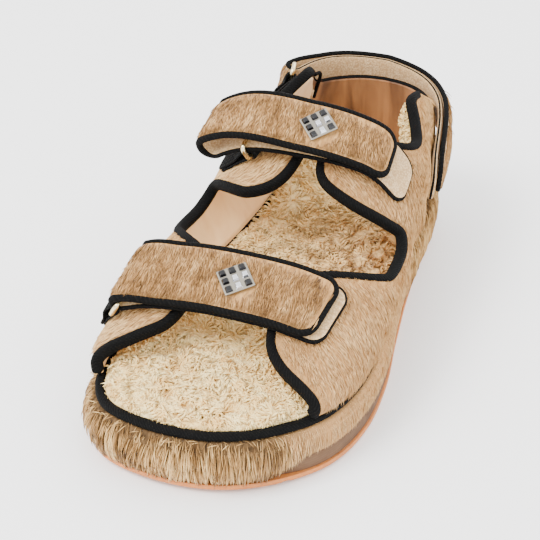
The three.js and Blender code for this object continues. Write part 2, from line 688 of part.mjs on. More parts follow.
// One strap with its ring and tab. lay gives the strap's edges, tabLay the tab's; standing rings take
// the strap's under layer through them, flat ones lie past its fold
function buildFastening({
  name, lay, anchor, fold, free, foldRadius, foldLift, crownLift, rest, ringShare, tabStart, steps,
}) {
  const anchored = CLEARANCE + STRAP_THICKNESS / 2;
  const carried = BINDING_PROUD + STRAP_LIFT + STRAP_THICKNESS / 2 + crownLift;
  const rise = (share) => THREE.MathUtils.lerp(anchored, carried, THREE.MathUtils.smoothstep(share, 0.02, 0.3))
    + (foldLift - carried) * THREE.MathUtils.smoothstep(share, 0.5, 0.9);
  addPiece(`${name}_strap`, foldedStrip({
    lay, start: anchor, fold, end: free, rise, radius: foldRadius, rest, thickness: STRAP_THICKNESS, steps,
    corner: STRAP_CORNER,
  }), 0xb99a74, 0.9);

  const bend = foldFrame(lay, anchor, fold, rise(1) + foldRadius);
  const wire = RING_WIRE / 2;
  const hug = STRAP_THICKNESS / 2 + CLEARANCE + wire;
  const tabRadius = wire + CLEARANCE + TAB_THICKNESS / 2;
  const tabRise = CLEARANCE + TAB_THICKNESS / 2 + TAB_LIFT;
  let near;
  let far;
  let bar = bend;
  if (ringShare === undefined) {
    near = bend.pin.clone().addScaledVector(bend.outwards, foldRadius - hug);
    const reach = near.clone().addScaledVector(bend.outwards, RING_REACH);
    const drop = bend.up.clone().multiplyScalar(tabRise + tabRadius - rise(1) - foldRadius);
    far = reach.add(drop);
  } else {
    const t = THREE.MathUtils.lerp(anchor, fold, ringShare);
    const at = stripStation(lay(t));
    near = at.middle.clone().addScaledVector(at.up, rise(ringShare) + hug);
    far = at.middle.clone().addScaledVector(at.up, rise(ringShare) - hug - TAB_THICKNESS - CLEARANCE);
    bar = at;
  }
  addPiece(`${name}_ring`, buildRing(near, far, bar.wide, bar.reach), 0xd8c48c, 0.25, 1);

  const tabWidth = 1 - 2 * CLEARANCE / bar.reach;
  const tabFold = ringShare === undefined ? placePast(lay, fold, tabStart, RING_REACH)
    : THREE.MathUtils.lerp(anchor, fold, ringShare);
  const narrow = (t) => {
    const [rear, front] = lay(t);
    const half = rear.map((value, i) => (value + front[i]) / 2);
    return [rear, front].map((edge) => edge.map((value, i) => half[i] + (value - half[i]) * tabWidth));
  };
  const turnBack = foldFrame(narrow, tabStart, tabFold, 0);
  turnBack.wide = bar.wide;
  turnBack.reach = bar.reach * tabWidth;
  turnBack.pin = far;
  turnBack.outwards.addScaledVector(bar.wide, -turnBack.outwards.dot(bar.wide)).normalize();
  turnBack.up = turnBack.outwards.clone().cross(bar.wide).normalize();
  if (turnBack.up.dot(bar.up) < 0) turnBack.up.negate();
  const farLift = far.clone().sub(stripStation(lay(tabFold)).middle).dot(stripStation(lay(tabFold)).up) - tabRadius;
  addPiece(`${name}_tab`, foldedStrip({
    lay: narrow,
    start: tabStart,
    fold: THREE.MathUtils.lerp(tabFold, tabStart, 0.12),
    end: tabStart,
    rise: (share) => THREE.MathUtils.lerp(tabRise, Math.max(tabRise, farLift), share ** 2),
    radius: tabRadius,
    rest: 0.5,
    thickness: TAB_THICKNESS,
    steps: 5,
    corner: TAB_CORNER,
    turning: turnBack,
  }), 0x0d0d0d, 0.95);

  if (BADGE_SHARE[name] !== undefined) {
    const t = THREE.MathUtils.lerp(free, fold, BADGE_SHARE[name]);
    const at = stripStation(lay(t));
    const settled = THREE.MathUtils.smoothstep(1 - BADGE_SHARE[name], 0, rest);
    const gap = THREE.MathUtils.lerp(2 * foldRadius, STRAP_THICKNESS + CLEARANCE, settled);
    const top = rise((anchor - t) / (anchor - fold)) + gap + STRAP_THICKNESS / 2 + BADGE_LIFT;
    addPiece(`${name}_badge`, buildBadge({ ...at, middle: at.middle.addScaledVector(at.up, top) }), 0xc9c9c9, 0.3, 0.8);
  }
}

// The place along a strip's course that lies a distance past the fold
function placePast(lay, fold, end, distance) {
  const origin = stripStation(lay(fold)).middle;
  let share = 0;
  while (share < 1 && stripStation(lay(THREE.MathUtils.lerp(fold, end, share))).middle.distanceTo(origin) < distance) {
    share += 0.01;
  }
  return THREE.MathUtils.lerp(fold, end, share);
}

CROSSING_STRAPS.forEach((strap) => {
  const share = (t) => (strap.free - t) / (strap.free - strap.fold);
  const lay = (t) => [['rearLateral', 'rearMedial'], ['frontLateral', 'frontMedial']].map(([lateral, medial]) => [
    THREE.MathUtils.lerp(strap[lateral], strap[medial], clamp01(share(t))), t]);
  buildFastening({ ...strap, lay });
});

// Round the heel a strap's course is its signed turn: positive on the lateral side, negative on the medial
const heelEdge = ({ medial, back, lateral }, t) => (t < 0
  ? -THREE.MathUtils.lerp(back, medial, THREE.MathUtils.smoothstep(t / HEEL_STRAP.fold, 0, 1))
  : THREE.MathUtils.lerp(back, lateral, clamp01(t / HEEL_STRAP.anchor)));
buildFastening({
  ...HEEL_STRAP,
  lay: (t) => [HEEL_STRAP.top, HEEL_STRAP.bottom].map((edge) => [alongFrom(Math.abs(t)), heelEdge(edge, t)]),
});

const root = new THREE.Group();
const box = new THREE.Box3();
pieces.forEach(({ name, solid, colour, roughness, metalness }) => {
  const mesh = new THREE.Mesh(
    geometryFrom(solid),
    new THREE.MeshStandardMaterial({ color: colour, roughness, metalness }),
  );
  mesh.name = name;
  mesh.geometry.computeBoundingBox();
  box.union(mesh.geometry.boundingBox);
  root.add(mesh);
});
box.getCenter(centre);

// Heel to +Y and toe to -Y, standing on z = 0 about the middle of its box
root.children.forEach((mesh) => {
  mesh.geometry.translate(-centre.x, -centre.y, -box.min.z);
});

export default root;
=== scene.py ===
# %% [markdown]
# # A shaggy dad sandal, dressed in Blender
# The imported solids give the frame: every piece below is laid over one of them, in metres, heel towards +Y,
# toe towards -Y and the outer side towards +X. The sandal is the left one of its pair.

# %% Load the frame
import json
import bpy
import numpy as np
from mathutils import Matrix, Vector, kdtree, noise

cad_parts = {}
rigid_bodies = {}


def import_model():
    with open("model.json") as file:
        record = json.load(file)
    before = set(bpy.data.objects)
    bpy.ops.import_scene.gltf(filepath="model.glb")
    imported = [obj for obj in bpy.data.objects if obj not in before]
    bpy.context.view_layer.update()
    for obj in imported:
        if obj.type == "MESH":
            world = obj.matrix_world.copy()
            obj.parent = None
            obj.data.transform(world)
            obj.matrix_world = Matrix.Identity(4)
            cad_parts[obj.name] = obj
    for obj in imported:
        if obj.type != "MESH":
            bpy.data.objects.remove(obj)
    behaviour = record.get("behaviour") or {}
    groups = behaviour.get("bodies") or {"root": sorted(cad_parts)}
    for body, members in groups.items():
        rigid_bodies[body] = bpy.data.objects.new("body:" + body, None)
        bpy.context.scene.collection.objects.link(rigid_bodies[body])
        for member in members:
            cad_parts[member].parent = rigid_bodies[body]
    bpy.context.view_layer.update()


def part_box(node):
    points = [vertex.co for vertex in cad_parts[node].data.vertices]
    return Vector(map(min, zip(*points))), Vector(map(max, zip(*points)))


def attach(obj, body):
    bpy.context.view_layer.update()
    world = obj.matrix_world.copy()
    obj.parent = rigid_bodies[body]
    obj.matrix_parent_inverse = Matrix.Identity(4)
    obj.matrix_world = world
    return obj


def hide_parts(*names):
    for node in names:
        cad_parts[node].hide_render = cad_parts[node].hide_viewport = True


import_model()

# %% [markdown]
# ## The shoe's own sizes
# A shoemaker works from a last: length, ball width, the height of the crown, and how square each section is.
# The same few sizes place every piece here, so a strap or a crease is given as a share along the foot
# (0 heel, 1 toe) and a place across (0 crown, 1 outer rim, -1 inner rim). Sizes are in millimetres.

# %% Sizes of the last and the sole
LENGTH, BALL_WIDTH, CROWN_HEIGHT = 252, 110, 76
PLATFORM_HEIGHT, HEEL_RISE, TOE_SPRING = 22.8, 9, 2
OUTSOLE_THICKNESS, OUTSOLE_PROUD, BAND_HEIGHT, BAND_INSET = 3, .8, 8.5, 2.4
GROOVE_COUNT, GROOVE_WIDTH, GROOVE_DEPTH, GROOVE_REACH, GROOVE_TURN = 10, 3, 1.2, .72, .12
WRAP_THICKNESS, WRAP_BULGE, FRINGE_LENGTH, CLIP_DEPTH = 4.6, 1.6, 7, .9
RIM_INSET, RIM_WIDTH, RIM_HEIGHT, RIM_SINK = 2, 3.8, 3.4, .4
INSOLE_PILE, INSOLE_CUP, INSOLE_SHOULDER = 6, 3, 4
WALL, SIDE_BULGE, BINDING_WIDTH, BINDING_PROUD = 3, 12, 4.2, 1.1
STRAP_THICKNESS, STRAP_LIFT, STRAP_CORNER = 2.8, 1, 6
TAB_THICKNESS, TAB_CORNER, TAB_LIFT = 1.3, 3, .2
RING_WIRE, RING_REACH, GAP = 2.2, 6.5, .3
STONE_SIZE, STONE_HEIGHT, BADGE_PLATE, BADGE_LIFT, BADGE_AT = 3.4, 1.6, 1, .9, .42
TURN_SCALE, CROSS_SCALE = 240, 60
LATERAL = (0, .177, .285, .330, .350, .386, .438, .495, .510, .456, .315, .136, -.082)
MEDIAL = (0, .177, .295, .345, .352, .348, .370, .412, .455, .477, .423, .309, .082)
# share along, crown height, squareness outside and inside, place of the crown, swell outside and inside
CROWN = np.array([
    (.10, 1.32, 2.5, 2.5, 0, 0, 0), (.24, 1.28, 2.6, 2.6, 0, .55, .6),
    (.34, 1.18, 2.8, 2.9, -.01, .85, .95), (.42, 1.05, 2.9, 3.1, -.02, .75, .95),
    (.50, .94, 2.8, 3.2, -.03, .68, .95), (.60, .86, 2.6, 3.2, -.05, .56, .85),
    (.70, .77, 2.6, 3.2, -.07, .45, .62), (.80, .64, 2.4, 2.9, -.08, .3, .4),
    (.88, .55, 2.2, 2.6, -.08, .18, .24), (1.0, .47, 2.1, 2.3, -.08, 0, 0)])
HEEL_POLE, TOE_POLE, POLE_SOFTNESS = .13, .86, .05
low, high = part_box("outsole")

# %% The upper's edges, as (share along, place across)
EDGES = {
    1: {
        "collar": [(0, .68), (.04, .68), (.09, .66), (.125, .58), (.16, .49), (.20, .46), (.24, .54),
                   (.28, .58), (.315, .53), (.345, .42), (.365, .28), (.378, .12)],
        "rear slit": [(.40, .055), (.45, .055)],
        "window": [(.472, .10), (.488, .21), (.494, .35), (.489, .52), (.482, .66), (.505, .71),
                   (.545, .70), (.583, .66), (.615, .55), (.640, .43), (.660, .33), (.680, .25)],
        "front slit": [(.72, .21), (.78, .22)],
        "toe": [(.822, .27), (.845, .34), (.862, .44), (.872, .60), (.877, .80), (.880, 1.0)]},
    -1: {
        "collar": [(0, -.68), (.04, -.68), (.09, -.65), (.12, -.57), (.143, -.48), (.185, -.43),
                   (.225, -.50), (.262, -.54), (.295, -.50), (.320, -.41), (.345, -.28), (.37, -.12)],
        "rear slit": [(.40, -.035), (.475, -.035)],
        "window": [(.507, -.09), (.520, -.20), (.510, -.33), (.490, -.48), (.468, -.63), (.465, -.74),
                   (.500, -.78), (.550, -.74), (.595, -.64), (.625, -.50), (.648, -.37), (.675, -.22)],
        "front slit": [(.72, -.12), (.78, -.12)],
        "toe": [(.830, -.17), (.858, -.28), (.882, -.43), (.897, -.62), (.905, -.82), (.908, -1.0)]}}
# the bindings start at this row of the collar
BOUND_FROM = 4


# %% [markdown]
# ## The last as a surface
# Any point of the foot's form can be asked for by its share along and its place across. It would also be
# possible to sculpt the form, but a surface that can be asked keeps straps, bindings and hair on it
# exactly.

# %% Reading the tables
def mix(a, b, f):
    return a + (b - a) * f


def ease(x, start, end):
    f = np.clip((np.asarray(x, float) - start) / (end - start), 0, 1)
    return f * f * (3 - 2 * f)


def unit(v):
    return v / np.maximum(np.linalg.norm(v, axis=-1, keepdims=True), 1e-9)


def dot(a, b):
    return (a * b).sum(-1, keepdims=True)


def curve_through(values, share):
    v = np.asarray(values, float)
    place = np.clip(share, 0, 1) * (len(v) - 1)
    i = np.minimum(place.astype(int), len(v) - 2)
    f = place - i
    v = np.concatenate([[2 * v[0] - v[1]], v, [2 * v[-1] - v[-2]]])
    a, b, c, d = v[i], v[i + 1], v[i + 2], v[i + 3]
    return .5 * (2 * b + (c - a) * f + (2 * a - 5 * b + 4 * c - d) * f**2 + (3 * b - a - 3 * c + d) * f**3)


def crown(column, along):
    places, values = CROWN[:, 0], CROWN[:, column]
    last = len(places) - 1
    k = np.arange(last + 1)
    before, after = np.maximum(0, k - 1), np.minimum(last, k + 1)
    slope = (values[after] - values[before]) / (places[after] - places[before])
    i = np.clip(np.searchsorted(places, along) - 1, 0, last - 1)
    run = places[i + 1] - places[i]
    f = np.clip((along - places[i]) / run, 0, 1)
    return mix(values[i], values[i + 1], f * f * (3 - 2 * f)) + run * f * (1 - f) * (
        (1 - f) * slope[i] - f * slope[i + 1])


def along_at(turn):
    return (1 - np.cos(np.pi * np.asarray(turn, float))) / 2


def turn_at(along):
    return np.arccos(np.clip(1 - 2 * np.asarray(along, float), -1, 1)) / np.pi


def spring(along):
    return TOE_SPRING * np.clip((along - .72) / .28, 0, 1) ** 2


def rim_height(along):
    return PLATFORM_HEIGHT + HEEL_RISE * np.clip(1 - along / .72, 0, 1) + spring(along)


# %% Points of the sole's outline and of the last
def sole_edge(turn, side, inset=0.0):
    turn, side, inset = np.broadcast_arrays(np.asarray(turn, float), side, np.asarray(inset, float))

    def spot(t):
        width = np.where(side > 0, curve_through(LATERAL, t), curve_through(MEDIAL, t))
        return np.stack([side * BALL_WIDTH * width, -LENGTH * along_at(t)], axis=-1)

    here = spot(turn)
    run = unit(spot(np.minimum(1, turn + .002)) - spot(np.maximum(0, turn - .002)))
    moved = here + (side * inset)[..., None] * np.stack([run[..., 1], -run[..., 0]], axis=-1)
    end = np.stack([here[..., 0], np.where(turn <= 0, -inset, inset - LENGTH)], axis=-1)
    return np.where(((turn <= 0) | (turn >= 1))[..., None], end, moved)


def last_point(turn, across):
    turn, across = np.broadcast_arrays(np.asarray(turn, float), np.asarray(across, float))
    along = along_at(turn)
    side = np.where(across >= 0, 1, -1)
    foot = sole_edge(turn, side, RIM_INSET)
    soft = POLE_SOFTNESS ** 2
    pole = (along + HEEL_POLE + np.sqrt((along - HEEL_POLE) ** 2 + soft)) / 2
    pole = (pole + TOE_POLE - np.sqrt((pole - TOE_POLE) ** 2 + soft)) / 2
    square = np.where(side > 0, crown(2, pole), crown(3, pole))
    base = rim_height(along) + RIM_HEIGHT + GAP
    angle = (1 - np.minimum(1, abs(across))) * np.pi / 2
    inwards = 1 - np.cos(angle) ** (2 / square)
    upwards = np.sin(angle) ** (2 / square)
    swell = (SIDE_BULGE * np.where(side > 0, crown(5, pole), crown(6, pole)) * np.sin(np.pi * upwards)
             * np.clip(along / HEEL_POLE, 0, 1) * np.clip((1 - along) / (1 - TOE_POLE), 0, 1))
    return np.stack([mix(foot[..., 0], BALL_WIDTH * crown(4, pole), inwards) + side * swell,
                     mix(foot[..., 1], -LENGTH * pole, inwards),
                     mix(base, CROWN_HEIGHT * crown(1, pole), upwards)], axis=-1)


def last_normal(turn, across):
    turn, across = np.broadcast_arrays(np.asarray(turn, float), np.asarray(across, float))
    step = .004

    def facing(a):
        side = np.where(a >= 0, 1, -1)
        at = side * np.clip(abs(a), .02, 1 - step)
        run = last_point(np.minimum(1, turn + step), at) - last_point(np.maximum(0, turn - step), at)
        over = last_point(turn, at + side * step) - last_point(turn, at - side * step)
        return unit(np.cross(over, run) * -side[..., None])

    normal = facing(across)
    ends = ((turn <= 1e-6) | (turn >= 1 - 1e-6))[..., None]
    return np.where(ends, unit(normal + facing(-across)), normal)


def on_last(turn, across, lift=0.0):
    return last_point(turn, across) + last_normal(turn, across) * np.asarray(lift, float)[..., None]


def smooth_run(rows, count):
    """A smooth run of even steps through rows of an edge, as turns and places across."""
    p = np.array([(turn_at(along) * TURN_SCALE, across * CROSS_SCALE) for along, across in rows])
    p = np.concatenate([[2 * p[0] - p[1]], p, [2 * p[-1] - p[-2]]])
    f = np.linspace(0, 1, 40, endpoint=False)[:, None]
    line = []
    for a, b, c, d in zip(p, p[1:], p[2:], p[3:]):
        r, s, t = (np.linalg.norm(v) ** .5 for v in (b - a, c - b, d - c))
        leave = s * ((b - a) / r - (c - a) / (r + s) + (c - b) / s)
        meet = s * ((c - b) / s - (d - b) / (s + t) + (d - c) / t)
        line.append((2 * f**3 - 3 * f**2 + 1) * b + (f**3 - 2 * f**2 + f) * leave
                    + (3 * f**2 - 2 * f**3) * c + (f**3 - f**2) * meet)
    line = np.concatenate([*line, p[-2:-1]])
    reach = np.r_[0, np.cumsum(np.linalg.norm(np.diff(line, axis=0), axis=1))]
    x, y = (np.interp(np.linspace(0, reach[-1], count), reach, line[:, k]) for k in (0, 1))
    return np.clip(x / TURN_SCALE, 0, 1), y / CROSS_SCALE


widest = sole_edge(np.linspace(0, 1, 400), 1, -OUTSOLE_PROUD)[:, 0].max()
shift = np.array([high[0] * 1000 - widest, high[1] * 1000 - OUTSOLE_PROUD, 0])


def metres(points):
    return (np.asarray(points, float) + shift) * .001


print("centreline at", round(shift[0], 2), "mm, heel at", round(shift[1], 2), "mm")


# %% [markdown]
# ## One tool for cloth and leather: a grid laid on the last
# Most pieces are strips or skins. Each starts as Blender's grid primitive, whose vertices are then laid on
# the places that the last gives, row by row. A ring is closed on itself and its seam merged by distance; a
# skin gets its thickness from Solidify.

# %% Lay a grid
def only(piece):
    bpy.ops.object.select_all(action='DESELECT')
    piece.select_set(True)
    bpy.context.view_layer.objects.active = piece


def join(active, pieces):
    only(active)
    for each in pieces:
        each.select_set(True)
    bpy.ops.object.join()
    return active


def modify(piece, kind, **settings):
    """Add one modifier, set it and make it real."""
    only(piece)
    bpy.ops.object.modifier_add(type=kind)
    modifier = piece.modifiers[-1]
    for key, value in settings.items():
        setattr(modifier, key, value)
    bpy.ops.object.modifier_apply(modifier=modifier.name)


def values(data, key, width=1, kind=float):
    """One property of every vertex, corner or face, as an array."""
    flat = np.empty(len(data) * width, kind)
    data.foreach_get(key, flat)
    return flat.reshape(-1, width) if width > 1 else flat


def lay(name, points, ring=False, tube=False, drop=None, zones=None, flip=False):
    points = np.asarray(points, float)
    if ring:
        points = np.concatenate([points, points[:, :1]], axis=1)
    if tube:
        points = np.concatenate([points, points[:1]], axis=0)
    rows, columns = points.shape[:2]
    bpy.ops.object.select_all(action='DESELECT')
    bpy.ops.mesh.primitive_grid_add(x_subdivisions=columns - 1, y_subdivisions=rows - 1, size=2)
    piece = bpy.context.object
    piece.name = piece.data.name = name
    mesh = piece.data
    flat = values(mesh.vertices, 'co', 3)
    row = np.rint((flat[:, 1] + 1) / 2 * (rows - 1)).astype(int)
    column = np.rint((flat[:, 0] + 1) / 2 * (columns - 1)).astype(int)
    mesh.vertices.foreach_set('co', metres(points)[row, column].ravel())
    across = np.cumsum(np.r_[0, np.linalg.norm(np.diff(points, axis=0), axis=-1).mean(1)]) * .001
    along = np.cumsum(np.r_[0, np.linalg.norm(np.diff(points, axis=1), axis=-1).mean(0)]) * .001
    corner = values(mesh.loops, 'vertex_index', kind=int)
    mesh.uv_layers.active.data.foreach_set(
        'uv', np.stack([along[column[corner]], across[row[corner]]], axis=-1).ravel())
    face_row, face_column = (k[corner.reshape(-1, 4)].min(1) for k in (row, column))
    if zones is not None:
        mesh.polygons.foreach_set('material_index', np.asarray(zones)[face_row])
    if drop is not None:
        mesh.vertices.foreach_set('select', np.zeros(len(mesh.vertices), bool))
        mesh.edges.foreach_set('select', np.zeros(len(mesh.edges), bool))
        mesh.polygons.foreach_set('select', drop[face_row, face_column])
    bpy.context.tool_settings.mesh_select_mode = (False, False, True)
    bpy.ops.object.mode_set(mode='EDIT')
    if drop is not None:
        bpy.ops.mesh.delete(type='FACE')
    bpy.ops.mesh.select_mode(type='VERT')
    bpy.ops.mesh.select_all(action='SELECT')
    bpy.ops.mesh.remove_doubles(threshold=2e-6)
    if tube != ring:
        bpy.ops.mesh.select_all(action='DESELECT')
        bpy.ops.mesh.select_mode(type='EDGE')
        bpy.ops.mesh.select_non_manifold()
        bpy.ops.mesh.edge_face_add()
        bpy.ops.mesh.select_mode(type='VERT')
    if tube or ring:
        bpy.ops.mesh.select_all(action='SELECT')
        bpy.ops.mesh.normals_make_consistent(inside=False)
    if flip:
        bpy.ops.mesh.flip_normals()
    bpy.ops.object.mode_set(mode='OBJECT')
    bpy.ops.object.shade_smooth()
    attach(piece, "root")
    return piece


def thicken(piece, wall):
    """A wall grown inwards; its inside and its rim take the second material."""
    modify(piece, 'SOLIDIFY', thickness=wall * .001, offset=-1, use_even_offset=True, material_offset=1,
           material_offset_rim=1)


def sweep(name, place, up, section, ring=False, size=1.0):
    """A section given in side and up sizes, carried along places with a given up direction."""
    if ring:
        run = unit(np.roll(place, -1, axis=0) - np.roll(place, 1, axis=0))
    else:
        run = unit(np.gradient(place, axis=0))
    side = unit(np.cross(up, run))
    up = np.cross(run, side)
    size = np.broadcast_to(size, len(place))[None, :, None]
    out, lift = (np.asarray(section, float)[:, k][:, None, None] for k in (0, 1))
    return lay(name, place[None] + (side[None] * out + up[None] * lift) * size, ring=ring, tube=True)


def rounded(width, height, count=14, square=3.0):
    """The corners of a soft-cornered section."""
    a = np.linspace(0, 2 * np.pi, count, endpoint=False)
    c, s = np.cos(a), np.sin(a)
    return np.stack([np.sign(c) * abs(c) ** (2 / square) * width / 2,
                     np.sign(s) * abs(s) ** (2 / square) * height / 2], axis=-1)


def count_triangles(piece):
    return sum(len(face.vertices) - 2 for face in piece.data.polygons)


def finish(piece, *materials, replaces=None, slot=None, wall=0.0):
    for material in materials:
        piece.data.materials.append(material)
    if wall:
        thicken(piece, wall)
    if replaces:
        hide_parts(replaces)
    print(f"{piece.name}: {count_triangles(piece)} triangles")
    return piece


# %% Plain colours
def rgb(red, green, blue):
    """A colour as the eye names it, 0 to 255, in linear light."""
    c = np.array([red, green, blue]) / 255
    return tuple(float(v) for v in np.where(c < .04045, c / 12.92, ((c + .055) / 1.055) ** 2.4))


def plain(name, colour, roughness=.8, metallic=0.0):
    material = bpy.data.materials.new(name)
    material.use_nodes = True
    shader = material.node_tree.nodes["Principled BSDF"]
    shader.inputs["Base Color"].default_value = (*colour, 1)
    shader.inputs["Roughness"].default_value = roughness
    shader.inputs["Metallic"].default_value = metallic
    return material


# %% [markdown]
# ## Camera, light and floor
# The camera stands where the photograph was taken from, in front of the toe, on the outer side and above.
# Wide lights and a pale floor give the soft shadow of a product shot.

# %% Studio
SKY_STRENGTH = 2.5
CAMERA_PLACE, CAMERA_TARGET, CAMERA_LENS = (199.6, -641.6, 389), (-9.6, -133.7, 31), 97


def aim(thing, target):
    thing.rotation_euler = (Vector(target) - thing.location).to_track_quat('-Z', 'Y').to_euler()


world = bpy.data.worlds.new("pale studio")
bpy.context.scene.world = world
world.use_nodes = True
world.node_tree.nodes["Background"].inputs["Color"].default_value = (1, 1, 1, 1)
world.node_tree.nodes["Background"].inputs["Strength"].default_value = SKY_STRENGTH
bpy.ops.mesh.primitive_plane_add(size=6, location=(0, 0, 0))
floor = bpy.context.object
floor.name = "floor"
floor.data.materials.append(plain("paper sweep", (.95, .95, .95), .9))
middle = metres((0, -LENGTH / 2, 40))
for name, place, size, power in (("key", (-.7, -.9, 1.5), .9, 50), ("fill", (1.3, -.7, .9), 1.4, 10),
                                 ("back", (.2, 1.4, 1.2), 1.2, 12)):
    bpy.ops.object.light_add(type='AREA', location=place)
    light = bpy.context.object
    light.name = name
    light.data.size, light.data.energy = size, power
    aim(light, middle)
bpy.ops.object.camera_add(location=metres(CAMERA_PLACE))
camera = bpy.context.object
camera.data.sensor_width, camera.data.lens, camera.data.clip_start = 36, CAMERA_LENS, .01
aim(camera, metres(CAMERA_TARGET))
bpy.context.scene.camera = camera

# %% [markdown]
# ## Finishes
# Every finish is made of Blender's own textures in the object's own space or along the piece's own surface,
# so it stays with the piece. Hair takes its tone from the lock it belongs to and gets lighter to its tip,
# its root painted darker as shade deep in the coat.

# %% A small kit for finishes
class Paint:
    """One finish: texture nodes are added by kind and fed with numbers, colours or other sockets."""

    def __init__(self, name, colour=(.5, .5, .5), **sockets):
        self.material = bpy.data.materials.new(name)
        self.material.use_nodes = True
        self.tree = self.material.node_tree
        self.shader = self.tree.nodes["Principled BSDF"]
        self.feed(self.shader, {"Base Color": (*colour, 1)})
        self.feed(self.shader, {key.replace("_", " "): value for key, value in sockets.items()})

    def feed(self, node, feeds):
        for key, value in feeds.items():
            if isinstance(value, bpy.types.NodeSocket):
                self.tree.links.new(value, node.inputs[key])
            else:
                node.inputs[key].default_value = value
        return node

    def add(self, kind, feeds=(), **settings):
        node = self.tree.nodes.new("ShaderNode" + kind)
        for key, value in settings.items():
            setattr(node, key, value)
        return self.feed(node, dict(feeds))

    def space(self, scale=(1, 1, 1), turn=(0, 0, 0), uv=False):
        source = self.add("TexCoord").outputs["UV" if uv else "Object"]
        return self.add("Mapping", {"Vector": source, "Scale": scale, "Rotation": turn}).outputs["Vector"]

    def place(self):
        return self.add("SeparateXYZ", {0: self.space()}).outputs

    def noise(self, vector, scale, detail=3.0, rough=.55, warp=0.0):
        return self.add("TexNoise", {"Vector": vector, "Scale": scale, "Detail": detail, "Roughness": rough,
                                     "Distortion": warp}).outputs["Fac"]

    def wave(self, vector, scale, direction, warp=0.0):
        feeds = {"Vector": vector, "Scale": scale, "Distortion": warp}
        return self.add("TexWave", feeds, bands_direction=direction).outputs["Fac"]

    def times(self, a, b):
        return self.add("Math", {0: a, 1: b}, operation='MULTIPLY').outputs[0]

    def plus(self, a, b):
        return self.add("Math", {0: a, 1: b}, operation='ADD').outputs[0]

    def span(self, value, low, high, start=0.0, end=1.0):
        return self.add("MapRange", {"Value": value, "From Min": low, "From Max": high, "To Min": start,
                                     "To Max": end}).outputs[0]

    def ramp(self, value, *stops):
        node = self.add("ValToRGB", {"Fac": value})
        points = node.color_ramp.elements
        while len(points) < len(stops):
            points.new(.5)
        for point, (place, colour) in zip(points, stops):
            point.position, point.color = place, (*colour, 1)
        return node.outputs["Color"]

    def blend(self, factor, a, b, mode='MIX'):
        a, b = ((*c, 1) if isinstance(c, tuple) else c for c in (a, b))
        return self.add("Mix", {0: factor, 6: a, 7: b}, data_type='RGBA', blend_type=mode).outputs[2]

    def bump(self, *layers):
        """Layers are (height, strength, distance in mm)."""
        normal = None
        for height, strength, distance in layers:
            feeds = {"Height": height, "Strength": strength, "Distance": distance * .001}
            if normal is not None:
                feeds["Normal"] = normal
            normal = self.add("Bump", feeds).outputs["Normal"]
        self.feed(self.shader, {"Normal": normal})

    def attribute(self, name):
        return self.add("Attribute", attribute_name=name).outputs["Fac"]

    def colour(self, socket):
        self.feed(self.shader, {"Base Color": socket})

    def rough(self, socket):
        self.feed(self.shader, {"Roughness": socket})


# %% Hair, wool and hide
def hair_finish(name, *shades, root=.55, patch=60.0, sheen=.08):
    paint = Paint(name, Roughness=.62, Sheen_Weight=sheen, Sheen_Roughness=.35, Specular_IOR_Level=.18)
    here = paint.space()
    tone = paint.plus(paint.times(paint.attribute("tone"), .62),
                      paint.times(paint.noise(here, patch, 3), .55))
    colour = paint.ramp(tone, *shades)
    # painted shade: each lock is darker at its root, as shade deep in the coat; root sets how dark
    dark = paint.ramp(paint.attribute("tip"), (0, (root, root * .92, root * .84)), (.55, (1, 1, 1)))
    paint.colour(paint.blend(1.0, colour, dark, 'MULTIPLY'))
    paint.rough(paint.span(paint.noise(here, 900, 2), .3, .7, .5, .75))
    paint.bump((paint.noise(here, 2600, 2), .25, .3))
    return paint.material


COAT = hair_finish("calf coat", (.12, rgb(154, 108, 62)), (.42, rgb(194, 147, 92)),
                   (.62, rgb(214, 171, 114)), (.9, rgb(232, 195, 138)), root=.78)
STRAP_COAT = hair_finish("strap coat", (.12, rgb(84, 56, 28)), (.42, rgb(142, 103, 60)),
                         (.65, rgb(176, 133, 82)), (.9, rgb(208, 168, 114)), root=.62, patch=90)
FRINGE = hair_finish("fringe coat", (.1, rgb(66, 44, 20)), (.36, rgb(142, 104, 58)),
                     (.6, rgb(194, 152, 94)), (.9, rgb(226, 190, 130)), root=.42, patch=80)


def hide(name, dark, light, clipped=None):
    """Skin between the hairs, pale as its hair where the wrap is clipped at the outer forefoot."""
    paint = Paint(name, Roughness=.85, Specular_IOR_Level=.12)
    strands = paint.noise(paint.space((1, .25, .4)), 700, 4, .6)
    colour = paint.ramp(strands, (.3, dark), (.7, light))
    if clipped:
        place = paint.place()
        outside, behind = paint.span(place["X"], .012, .025), paint.span(place["Y"], -.112, -.092)
        ahead = paint.span(place["Y"], .05, .02)
        colour = paint.blend(paint.times(outside, paint.times(ahead, behind)), colour, clipped)
    paint.colour(colour)
    paint.bump((strands, .6, .5))
    return paint.material


CALF = hide("calf hide", rgb(140, 100, 58), rgb(196, 152, 98))
WRAP_SKIN = hide("wrap hide", rgb(46, 33, 19), rgb(108, 82, 52), clipped=rgb(176, 134, 86))


